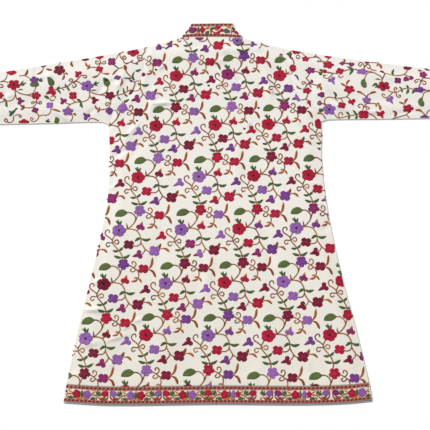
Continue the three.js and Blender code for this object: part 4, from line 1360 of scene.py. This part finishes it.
RIGHT_SLEEVE_STROKES = [
    (11.5, "g", 0.5, 212, 426, 211, 420, 208, 412),
    (8, "d", 0.5, 201, 419, 207, 420, 213, 418),
    (4.5, "p", 0.5, 208, 412, 214, 407, 219, 406),
    (4, "v", 0.5, 274, 409, 282, 411, 288, 409, 293, 405),
    (5.5, "b", 0.5, 290, 374, 296, 372, 300, 368),
    (5.5, "d", 0.5, 287, 364, 292, 360, 296, 363),
    (6, "v", 0.5, 257, 336, 261, 337, 266, 341),
    (5.5, "m", 0.5, 264, 346, 269, 342, 267, 335),
    (4, "b", 0.5, 260, 331, 264, 327, 266, 323),
    (4.2, "b", 0.5, 282, 328, 287, 332, 294, 333),
    (5.4, "b", 0.5, 283, 329, 289, 325, 292, 316),
    (4, "b", 0.5, 283, 328, 283, 324, 284, 320),
    (4.4, "d", 0.5, 225, 331, 231, 323, 240, 320),
    (5.4, "m", 0.5, 217, 297, 226, 298, 234, 298),
    (7, "m", 0.5, 227, 307, 230, 300, 238, 291),
    (7.5, "c", 0.5, 263, 287, 257, 283, 254, 279),
    (6.4, "c", 0.4, 258, 286, 260, 279, 262, 270),
    (9, "v", 0.5, 257, 267, 265, 260, 275, 255),
    (8, "d", 0.5, 283, 257, 290, 261, 297, 258),
    (4, "v", 0.5, 282, 284, 287, 285, 292, 283),
    (3.6, "n", 0.5, 288, 281, 290, 279, 291, 278),
    (5.5, "v", 0.5, 220, 361, 228, 355, 232, 344),
    (5.5, "b", 0.6, 359, 327, 353, 330, 345, 335),
    (5.5, "b", 0.6, 360, 328, 364, 338, 371, 344),
    (7, "k", 0.55, 288, 373, 294, 372, 302, 371),
    (6, "d", 0.5, 288, 363, 292, 362, 297, 366),
    (8, "d", 0.5, 364, 382, 378, 373, 370, 357),
    (4.5, "d", 0.5, 359, 393, 365, 391, 371, 390),
    (5.5, "b", 0.6, 357, 405, 359, 400, 358, 394),
    (3.8, "d", 0.5, 439, 345, 447, 345, 454, 342),
    (4.6, "d", 0.5, 446, 328, 438, 329, 429, 325),
    (4.2, "d", 0.5, 446, 328, 441, 332, 433, 332),
    (4.2, "d", 0.5, 446, 327, 441, 323, 437, 321),
    (6, "m", 0.5, 452, 367, 459, 366, 466, 361),
    (6.5, "d", 0.5, 489, 354, 487, 363, 492, 373),
    (5.5, "b", 0.6, 556, 370, 561, 368, 568, 367),
    (5.5, "d", 0.5, 574, 373, 581, 371, 589, 368),
    (6, "b", 0.7, 405, 303, 397, 309, 387, 311),
    (6, "b", 0.7, 421, 303, 430, 308, 441, 309),
    (7, "b", 0.6, 445, 275, 449, 267, 449, 258),
    (4.5, "b", 0.6, 436, 276, 439, 271, 438, 268),
    (4.5, "b", 0.6, 439, 276, 444, 277, 448, 277),
    (7, "b", 0.6, 451, 390, 456, 383, 458, 374),
    (4.5, "b", 0.6, 451, 390, 448, 386, 446, 381),
    (4.5, "b", 0.6, 445, 392, 451, 393, 457, 391),
    (6.5, "d", 0.5, 329, 294, 331, 303, 324, 311),
    (5.5, "d", 0.5, 367, 245, 362, 251, 357, 255),
    (5.5, "d", 0.5, 366, 244, 365, 240, 362, 235),
    (5.5, "d", 0.5, 386, 247, 381, 253, 375, 260),
    (6.5, "d", 0.5, 386, 247, 385, 240, 379, 234),
    (4.5, "d", 0.5, 511, 314, 507, 319, 502, 322),
    (4.5, "d", 0.5, 510, 314, 510, 310, 508, 307),
    (5.5, "d", 0.5, 527, 318, 526, 322, 522, 327),
    (7, "d", 0.5, 527, 317, 526, 310, 521, 302),
    (6.5, "d", 0.5, 540, 314, 541, 309, 536, 303),
    (5.5, "b", 0.6, 515, 273, 509, 277, 500, 280),
    (6.5, "b", 0.6, 516, 274, 518, 283, 525, 290),
    (7.5, "k", 0.55, 482, 257, 491, 250, 487, 239),
    (6, "b", 0.7, 563, 251, 556, 257, 543, 257),
    (4.5, "d", 0.5, 296, 260, 291, 262, 284, 265),
    (4.5, "d", 0.5, 296, 259, 290, 258, 285, 257),
    (5.5, "b", 0.6, 284, 333, 289, 331, 292, 332),
    (6.5, "b", 0.6, 286, 329, 291, 323, 292, 315),
    (5.5, "m", 0.5, 524, 234, 530, 236, 536, 233),
    (15, "g", 0.5, 411, 347, 407, 337, 410, 327, 415, 323),
    (15, "g", 0.5, 564, 292, 559, 282, 563, 272, 567, 268),
    (6, "v", 0.5, 283, 283, 287, 284, 291, 283),
    (4, "c", 0.5, 435, 253, 441, 253, 446, 250),
]
RIGHT_SLEEVE_BLOSSOMS = [
    ("c", (217, 379), 10.8, 9.8, 5, 40),
    ("c", (229, 427), 12.4, 8.2, 5, 90),
    ("c", (253, 405), 10.6, 8.4, 5, 10),
    ("p", (265, 372), 13.4, 9.2, 5, 30),
    ("c", (254, 315), 12.4, 8.8, 5, 0),
    ("m", (305, 369), 4.8, 5.2, 3, 0),
    ("l", (312, 262), 17.0, 14.6, -5, 90),
    ("c", (461, 325), 17.2, 13.2, -5, 45),
    ("c", (368, 317), 14.8, 11.4, 5, -20),
    ("c", (346, 273), 11.6, 9.4, 4, 30),
    ("c", (314, 387), 15.2, 10.6, 5, 0),
    ("c", (345, 369), 11.4, 9.0, 4, 20),
    ("l", (405, 367), 16.0, 8.6, 5, 0),
    ("c", (316, 411), 12.0, 5.0, 4, 0),
    ("c", (421, 395), 9.0, 6.0, 3, 0),
    ("p", (352, 391), 8.0, 5.4, 4, 0),
    ("p", (377, 388), 8.6, 6.6, 3, 20),
    ("p", (304, 369), 5.0, 5.6, 3, 0),
    ("m", (529, 376), 12.6, 6.0, 5, 0),
    ("p", (500, 340), 10.0, 9.0, 4, 40),
    ("p", (523, 344), 8.4, 7.4, 3, 100),
    ("p", (537, 347), 6.4, 6.6, 3, 0),
    ("p", (570, 356), 10.8, 9.4, 5, 0),
    ("v", (557, 313), 16.0, 8.0, 5, 0),
    ("l", (414, 287), 12.0, 10.0, 5, 90),
    ("c", (404, 247), 15.0, 12.0, 4, 45),
    ("c", (524, 262), 14.6, 11.4, 5, 0),
    ("v", (568, 236), 13.0, 8.0, 5, 90),
    ("p", (292, 303), 10.5, 8.0, 3, 180),
    ("c", (374, 282), 9.6, 9.6, 3, (377, 272)),
    ("l", (322, 344), 9.6, 9.6, 3, (329, 331)),
    ("l", (477, 288), 9.6, 9.6, 3, (484, 275)),
    ("c", (451, 248), 10.0, 10.0, 3, (456, 236)),
]


# On the back: five small dark stitches, then what grows at the top of the shoulders.
SHOULDER_STEMS = [("b", 78, 447, 90, 447, 104, 448)]
SHOULDER_STROKES = [
    (5, "n", 0.5, -156, 383, -153, 380, -150, 382),
    (5, "n", 0.5, -14, 336, -11, 333, -8, 335),
    (5, "n", 0.5, 119, 272, 122, 269, 125, 271),
    (5, "n", 0.5, -207, 241, -204, 238, -201, 240),
    (5, "n", 0.5, 80, 215, 83, 212, 86, 214),
    (4.6, "v", 0.6, -112, 451, -121, 443, -129, 438),
    (5, "k", 0.5, -126, 452, -118, 455, -110, 459),
]
SHOULDER_BLOSSOMS = [
    ("v", (-145, 444), 8.4, 8.8, 3, 90),
    ("v", (-115, 448), 7.0, 5.6, 3, 90),
    ("v", (111, 449), 7.6, 7.6, 3, (124, 447)),
    ("p", (187, 418), 5.6, 3.6, 3, 90),
    ("p", (-34.6, 468), 12.0, 6.0, 4, 90),
    ("l", (68.6, 459.5), 14.8, 12.6, -5, 90),
]
CHART_SWELL = 1.08  # notches take up part of each flower's charted size


def draw_chart(work, chart, place):
    """All that a chart names, each of its points put where `place` says."""
    stems, strokes, blossoms = chart
    for thread, *numbers in stems:
        work.stem([place(p) for p in in_pairs(numbers)], thread)
    for width, thread, swell, *numbers in strokes:
        work.stroke([place(p) for p in in_pairs(numbers)], width, thread, swell,
                    ribs=4 if width > 12 else 2)
    for thread, middle, wide, high, lobes, last in blossoms:
        if isinstance(last, tuple):
            bell(work, place(middle), place(last), wide, thread)
        else:
            size = (wide * CHART_SWELL, high * CHART_SWELL)
            work.blossom(place(middle), size, abs(lobes), math.radians(last), thread, eye=lobes < 0)


def sleeve_room(side):
    outward = OUTWARD[side]
    line = path_at(ARMHOLES[side], np.linspace(0, 1, 60))

    def room(at):
        x, y = at[..., 0], at[..., 1]
        seam = np.interp(y, line[:, 1], line[:, 0])
        nearest = np.minimum(y - sleeve_lower_y[side](x), top_y(x) - y)
        nearest = np.minimum(nearest, outward * (x - seam))
        return np.minimum(nearest, CUFF_X - 4 - outward * x) - STITCH_MARGIN

    return room


CHARTS = {"left": (LEFT_SLEEVE_STEMS, LEFT_SLEEVE_STROKES, LEFT_SLEEVE_BLOSSOMS),
          "right": (RIGHT_SLEEVE_STEMS, RIGHT_SLEEVE_STROKES, RIGHT_SLEEVE_BLOSSOMS)}
CHART_END = {"left": -578, "right": 590}
CHART_SHIFT = 198, 3  # outwards and up, from the chart to its repeat past the chart's end


def sleeve_stitches(name, side, face, *others):
    """A sleeve's stitching, charted as far as the photograph shows it."""
    outward, room = OUTWARD[side], sleeve_room(side)
    work = Stitches(name, face, room, *others)
    draw_chart(work, CHARTS[side], tuple)
    work.room = lambda at: np.minimum(room(at), outward * (at[..., 0] - CHART_END[side]))
    draw_chart(work, CHARTS[side], lambda p: (p[0] + outward * CHART_SHIFT[0],
                                              p[1] + CHART_SHIFT[1]))
    return work


sleeve_work = {side: sleeve_stitches(f"sleeve_{side}", side, sleeve_face) for side in OUTWARD}

# The border along the hem: half of one repeat, from its upright leaf to the middle of its
# scrolls. Each row of BORDER_HALVES gives a leaf's place, the way that the half runs, its
# stretch and the threads of its flower, its scroll flower and the streak.
HALF_BORDER = [
    (3.6, "o", 0.5, 22, 2, 30, 6, 37.5, 10),
    (3.6, "b", 0.5, 22, 0, 34, -0.5, 44, -5),
    (5.4, "g", 0.5, 21.5, -12.5, 25, -9.5, 31, -4),
    (5.4, "d", 0.5, 26.5, -13, 30.5, -10.5, 36, -6),
    (5.6, "d", 0.5, 37.5, 1, 40, 6, 42.5, 12),
    (5.6, "g", 0.5, 40, -0.5, 45, 4, 48, 11),
    (5.0, "g", 0.5, 42, -2, 47, 0.5, 53, 3),
    (3.4, "b", 0.5, 37, -13, 37.5, -10, 40.5, -5),
    (4.8, "k", 0.45, 41, -4, 48, -9.5, 58, -12, 67, -6.5, 69, 3),
    (3.0, "b", 0.5, 69, 3, 68, 9, 62, 12),
    (2.6, "t", 0.5, 24, 11.5, 31, 12, 36, 13),
    (3.4, "o", 0.5, 47, -5, 53, -6, 58, -5),
]
BORDER_HALVES = [
    (-344, -1, 1.0, "c", "v", "p"), (-344, 1, 0.97, "l", "c", "k"),
    (-207, -1, 0.95, "l", "l", "p"), (-207, 1, 0.95, "c", "l", "k"),
    (-75.6, -1, 0.9, "c", "c", "c"), (-75.6, 1, 0.88, "l", "c", "k"),
    (31.4, -1, 0.9, "c", None, None), (31.4, 1, 0.98, "l", "c", "v"),
    (72.7, 1, 1.0, None, "l", "p"),
    (211, -1, 0.94, "c", "p", "v"), (211, 1, 1.09, "l", "l", "p"),
    (355, -1, 0.9, "c", "p", "v"), (355, 1, 1.0, "l", "v", "k"),
]
BORDER_EXTRAS = [52.5, 233.5]  # small crimson flowers that crowd two of the lilac ones


def draw_border(work):
    def place(x, y):
        return x, float(hem_y(x)) + BAND_HEIGHT / 2 + y

    leaves = {leaf for leaf, _, _, flower, _, _ in BORDER_HALVES if flower}
    for leaf, way, stretch, flower, scroll, streak in BORDER_HALVES:
        def at(x, y):
            return place(leaf + way * x * stretch, y)

        narrow = flower == "l" and any(0 < way * (extra - leaf) < 30 for extra in BORDER_EXTRAS)
        for width, thread, swell, *numbers in HALF_BORDER:
            if flower or numbers[0] > 36:
                work.stroke([at(*p) for p in in_pairs(numbers)], width, thread, swell, height=0.7)
        if flower:
            work.blossom(at(9.5 if narrow else 13.5, -0.3), (6.6 if narrow else 11.8, 12.0),
                         3 if narrow else 5, way * 0.4 + 0.8, flower, depth=0.22)
        if scroll:
            work.blossom(at(59.5, 4), (10.4, 7.6), 3, math.pi / 2, scroll, depth=0.15)
        if streak:
            work.stroke([at(*p) for p in ((50, -6.5), (57, -6.8), (62.5, -1))], 4.6, streak, 0.5)
    for leaf in sorted(leaves):
        work.stroke([place(leaf - 1, -9), place(leaf, 0), place(leaf + 0.5, 11.5)], 7.0, "g", 0.45)
        for way in (-1, 1):
            work.stroke([place(leaf, -8.5), place(leaf + way * 5, -10.5),
                         place(leaf + way * 15, -12)], 4.6, "o", 0.4)
    for extra in BORDER_EXTRAS:
        work.blossom(place(extra, 1), (7.6, 10.2), 5, 0.3, "c")


def hem_room(at):
    x, y = at[..., 0], at[..., 1]
    side = np.minimum(x - side_x["left"](y), side_x["right"](y) - x)
    middle = hem_y(x) + BAND_HEIGHT / 2
    return np.minimum(side - STITCH_MARGIN, HEM_FILL - np.abs(y - middle))


hem_work = Stitches("hem_band", band_face, hem_room)
draw_border(hem_work)

# The collar's face, charted as the sleeves are.
COLLAR_STROKES = [
    (8.5, "g", 0.35, -37, 481, -37, 491, -37, 502),
    (5.9, "o", 0.5, -46, 482, -39, 483, -31, 482),
    (7.2, "o", 0.5, -19, 495, -12, 497, -6, 502),
    (4.4, "b", 0.5, -6, 493, -3, 487, -4, 478),
    (8.5, "d", 0.5, -19, 481, -15, 483, -8, 489),
    (7.2, "g", 0.5, -15, 479, -12, 481, -8, 485),
    (8.5, "d", 0.5, -5, 493, -1, 495, 4, 499),
    (7.2, "g", 0.5, 0, 493, 4, 496, 8, 499),
    (11.1, "c", 0.5, 7, 494, 15, 498, 26, 500),
    (7.8, "c", 0.55, 1, 488, 10, 481, 19, 485, 25, 491),
    (4.2, "b", 0.5, -5, 493, 0, 488, 8, 482),
    (4.4, "t", 0.5, 8, 490, 15, 492, 22, 496),
    (9.8, "c", 0.5, 22, 492, 27, 490, 34, 489),
    (8.5, "o", 0.5, 40, 500, 47, 499, 52, 495),
    (4.4, "b", 0.5, 52, 492, 54, 486, 53, 479),
    (7.8, "d", 0.5, 54, 492, 58, 496, 60, 499),
    (7.2, "g", 0.5, 55, 492, 60, 493, 64, 494),
    (7.8, "c", 0.55, 55, 489, 64, 484, 74, 478),
    (5.9, "g", 0.5, -66, 494, -62, 497, -59, 500),
    (5.5, "d", 0.5, -72, 482, -70, 485, -69, 489),
    (4.4, "b", 0.5, -70, 482, -67, 489, -63, 491),
]
COLLAR_BLOSSOMS = [
    ("p", (-53, 492), 13.4, 9.4, 3, 20),
    ("c", (-26, 492), 7.6, 10.6, 4, 0),
    ("d", (39, 488), 7.0, 7.0, 2, 90),
    ("v", (46, 486), 4.2, 5.0, 2, 90),
]


def collar_room(at):
    x, y = at[..., 0], at[..., 1]
    base = top_y(x)
    share = (y - base) / (COLLAR_TOP_Y - base)
    edge = NECK_HALF + (COLLAR_TOP_HALF - NECK_HALF) * share - np.abs(x)
    return np.minimum(edge - 0.8, COLLAR_FILL - np.abs(y - (base + COLLAR_TOP_Y) / 2))


collar_work = Stitches("collar", flat_face(COLLAR_HIGH_Z + COLLAR_FACE), collar_room)
draw_chart(collar_work, ([], COLLAR_STROKES, COLLAR_BLOSSOMS), tuple)


def braid_stitch():
    """One repeat of the braid along +X: maroon and dusty pink strands twisted as a rope,
    between two fine edge cords."""
    points, faces, colours = [], [], []

    def strand(middle, length, wide, high, turn, thread):
        cos, sin = math.cos(turn), math.sin(turn)
        start = len(points)
        for x, share in zip((-0.5, -0.24, 0.24, 0.5), (0, 1, 1, 0)):
            for a, h in [(-1, 0), (-0.5, 1), (0.5, 1), (1, 0)] if share else [(0, 0)]:
                along, aside = x * length, a * wide / 2
                points.append((middle[0] + along * cos - aside * sin,
                               middle[1] + along * sin + aside * cos, 0.1 + h * high))
                colours.append(THREADS[thread])
        local = [(0, 2, 1), (0, 3, 2), (0, 4, 3), (0, 1, 4), (9, 5, 6), (9, 6, 7), (9, 7, 8),
                 (9, 8, 5), (1, 2, 6, 5), (2, 3, 7, 6), (3, 4, 8, 7), (4, 1, 5, 8)]
        faces.extend(tuple(start + i for i in face) for face in local)

    strand((-2.6, 0), 9.6, 3.9, 1.1, math.radians(24), "w")
    strand((2.6, 0), 9.6, 3.0, 0.9, math.radians(24), "r")
    for way, thread in ((-1, "s"), (1, "r")):
        for x in (-3.5, 0.0, 3.5):
            strand((x, way * 3.2), 4.6, 1.9, 0.8, math.radians(12), thread)
            thread = "s"
    return points, faces, colours


def draw_sprays(work):
    for row in range(-1, 7):
        for cell in range(-4, 6):
            spray(work, cell, row, lambda p, c=cell, r=row: on_body(c, r, p))


body_work = Stitches("back", upper_face, body_room)
draw_sprays(body_work)
draw_chart(body_work, (SHOULDER_STEMS, SHOULDER_STROKES, SHOULDER_BLOSSOMS), tuple)

BRAID_REPEAT = 10.4
HEM_BRAID_INSET = 6.6  # from each side edge of the back to the middle of the first repeat
FRONT_BRAID_INSETS = 8.5, 7.6  # the same for the fronts, at the side and at the centre front
COLLAR_BRAID_INSET = 4.4  # the same from the collar's folds
points, faces, colours = braid_stitch()
BRAID_STITCH = link_template("braid_stitch", points, faces)
add_dye(BRAID_STITCH.data, [(*c, 1) for c in colours])
braid_thread = thread_finish("braid_thread", lambda finish: finish.noise(1500.0) * 0.6)


def braid(name, lines, ways, height=1.0):
    """A flat braid sewn along lines of points, with the way up or down that each line faces."""
    facing = np.concatenate([np.tile([0.0, 0.0, way], (len(line), 1))
                             for line, way in zip(lines, ways)])
    mesh = line_mesh(name, np.concatenate(lines), [len(line) for line in lines], facing)
    return grown(name + "_strands", mesh, LINKS_ON_LINES, braid_thread,
                 {"Link": BRAID_STITCH, "Spacing": BRAID_REPEAT * MM, "Unevenness": 0.03,
                  "Height": height})


def hem_line(from_x, to_x, height, face):
    x = np.linspace(from_x, to_x, 160)
    y = hem_y(x) + height
    return np.column_stack([x, y, face(x, y)])


def collar_runs(share):
    """The lines at a share of the collar's height where it lies flat, between the folds at
    its neck points, and the way up or down that each faces."""
    base, top, out = collar_line()
    middle = base + (top - base) * share + out * COLLAR_FACE
    lines, ways = [], []
    for way in (-1, 1):
        flat = out[:, 2] * way > 0.99
        for run in np.split(np.arange(len(flat)), np.flatnonzero(np.diff(flat)) + 1):
            if flat[run[0]] and len(run) > 9:
                steps = np.linalg.norm(np.diff(middle[run], axis=0), axis=1)
                along = np.concatenate([[0], np.cumsum(steps)])
                kept = np.linspace(COLLAR_BRAID_INSET, along[-1] - COLLAR_BRAID_INSET, 42)
                lines.append(np.stack([np.interp(kept, along, middle[run, k])
                                       for k in range(3)], axis=-1))
                ways.append(way)
    return lines, ways


braids = {}
for level, height in (("lower", BRAID_WIDTH / 2), ("upper", BAND_HEIGHT - BRAID_WIDTH / 2)):
    name = f"hem_braid_back_{level}"
    line = hem_line(hem_side_x("left", height) + HEM_BRAID_INSET,
                    hem_side_x("right", height) - HEM_BRAID_INSET, height, band_face)
    braids[name] = braid(name, [line], [1])
    for side, outward in OUTWARD.items():
        name = f"hem_braid_front_{side}_{level}"
        down = height - (FRONT_DROP if level == "lower" else 0)
        at_side, at_middle = FRONT_BRAID_INSETS
        line = hem_line(hem_side_x(side, down) - outward * at_side, outward * at_middle, down,
                        flat_face(1.0))
        braids[name] = braid(name, [line], [-1], 0.8)
for level, share in (("base", 0.105), ("top", 0.895)):  # of the collar's height
    name = f"collar_braid_{level}"
    braids[name] = braid(name, *collar_runs(share), 0.9)

motifs = {"back": body_work, "sleeve_left": sleeve_work["left"],
          "sleeve_right": sleeve_work["right"], "hem_band_back": hem_work, "collar": collar_work}
UNDER_RELIEF = 0.36  # height of the stitching on the hidden sides, as a share


def front_room(side):
    def room(at):
        x, y = at[..., 0], at[..., 1]
        base = top_y(OUTWARD[side] * NECK_HALF)
        neck = np.hypot(x / NECK_HALF, np.minimum(y - base, 0) / (base - FRONT_NECK_Y))
        nearest = np.minimum(body_room(at), OUTWARD[side] * x - FRONT_MARGIN)
        return np.minimum(nearest, np.where(y > FRONT_NECK_Y - 2, (neck - 1) * 60 - 2, 50))

    return room


def front_band_room(side):
    return lambda at: np.minimum(hem_room(at), OUTWARD[side] * at[..., 0] - FRONT_MARGIN)


for side in OUTWARD:
    work = Stitches(f"front_{side}", under_face, front_room(side), -1, UNDER_RELIEF)
    draw_sprays(work)
    motifs[f"front_{side}"] = work
    name = f"sleeve_{side}_under"
    motifs[name] = sleeve_stitches(name, side, flat_face(UNDER_CLOTH), -1, UNDER_RELIEF)
    name = f"hem_band_front_{side}"
    work = Stitches(name, under_face, front_band_room(side), -1, UNDER_RELIEF)
    draw_border(work)
    motifs[name] = work

stitched_on = {}
for node, work in motifs.items():
    made = [work.filled_mesh(filled_thread)]
    if work.stems:
        made.append(work.stem_mesh(stem_thread))
    stitched_on.setdefault(node.replace("_under", ""), []).extend(made)

BRAIDED = {"hem_band_back": "hem_braid_back", "hem_band_front_left": "hem_braid_front_left",
           "hem_band_front_right": "hem_braid_front_right", "collar": "collar_braid"}
pieces = {}
pieces["back"] = back_panel(cloth)
for side in OUTWARD:
    pieces[f"front_{side}"] = front_panel(side, cloth)
    pieces[f"sleeve_{side}"] = cloth_shell(f"sleeve_{side}_cloth", sleeve_grid(side), cloth,
                                           closed=True)
    band = hem_grid(side, OUTWARD[side] * FRONT_EDGE_X, -FRONT_DROP, BAND_HEIGHT, under_face,
                    np.linspace(0, 1, 60), 12, inset=0.9)
    if side == "left":
        band = band[:, ::-1]
    pieces[f"hem_band_front_{side}"] = cloth_shell(f"hem_band_front_{side}_cloth", band,
                                                   border_cloth, lining=lining_and_shade_finish.material)
band = hem_grid("left", None, 0.0, BAND_HEIGHT, band_face, shares(780, 6.0), 20)
pieces["hem_band_back"] = cloth_shell("hem_band_back_cloth", band, border_cloth)
pieces["collar"] = cloth_shell("collar_cloth", collar_grid(14), border_cloth)

# Floor, light and camera. The camera stands where the photograph was taken from, and the
# picture is turned a little against the jacket.
ROOM_LIGHT = 0.42
SUN_STRENGTH, SUN_ANGLE = 3.3, 14
SUN_WAY = (1.0, -1.15, -1.15)
CAMERA_AT, CAMERA_AIM = (-3.3, -315.6, 1983.0), (1.0, -20.0, 5.0)
PICTURE_TURN = 0.0146  # in radians
FOCAL_LENGTH, FILM_WIDTH = 63.63, 36
floor_finish = Finish("floor", Roughness=0.9)
floor_finish.colour(floor_finish.blend(floor_finish.noise(3.0), (0.948, 0.947, 0.946),
                                       (0.955, 0.954, 0.953)))
floor = make_mesh("floor", [(-9000, -9000, -0.05), (9000, -9000, -0.05), (9000, 9000, -0.05),
                            (-9000, 9000, -0.05)], [(0, 1, 2, 3)], floor_finish.material)


def slot_of(node):
    return "border" if node in BRAIDED else "cloth"


for node, piece in pieces.items():
    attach(piece, "root")
    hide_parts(node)
    slot_of(node)
    goes_with = stitched_on.get(node, []) + [made for name, made in braids.items()
                                             if name.startswith(BRAIDED.get(node, "none"))]
for node, made in stitched_on.items():
    for piece in made:
        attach(piece, "root")
        slot_of(node)
for node, piece in braids.items():
    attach(piece, "root")
    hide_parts(node)

world = bpy.data.worlds.new("studio")
bpy.context.scene.world = world
world.use_nodes = True
world.node_tree.nodes["Background"].inputs["Color"].default_value = (1, 1, 1, 1)
world.node_tree.nodes["Background"].inputs["Strength"].default_value = ROOM_LIGHT

key = bpy.data.lights.new("window", "SUN")
key.energy, key.angle = SUN_STRENGTH, math.radians(SUN_ANGLE)
key_object = bpy.data.objects.new("window", key)
bpy.context.collection.objects.link(key_object)
key_object.rotation_mode = "QUATERNION"
key_object.rotation_quaternion = Vector(SUN_WAY).to_track_quat("-Z", "Y")

eye = Vector(CAMERA_AT) * MM
forward = (Vector(CAMERA_AIM) * MM - eye).normalized()
right = Vector((math.cos(PICTURE_TURN), -math.sin(PICTURE_TURN), 0))
right = (right - forward * right.dot(forward)).normalized()
up = right.cross(forward)
lens = bpy.data.cameras.new("camera")
lens.lens, lens.sensor_width = FOCAL_LENGTH, FILM_WIDTH
camera = bpy.data.objects.new("camera", lens)
bpy.context.collection.objects.link(camera)
camera.matrix_world = Matrix.Translation(eye) @ Matrix((right, up, -forward)).transposed().to_4x4()
bpy.context.scene.camera = camera
bpy.context.scene.view_settings.view_transform = "Standard"
bpy.context.scene.view_settings.look = "None"
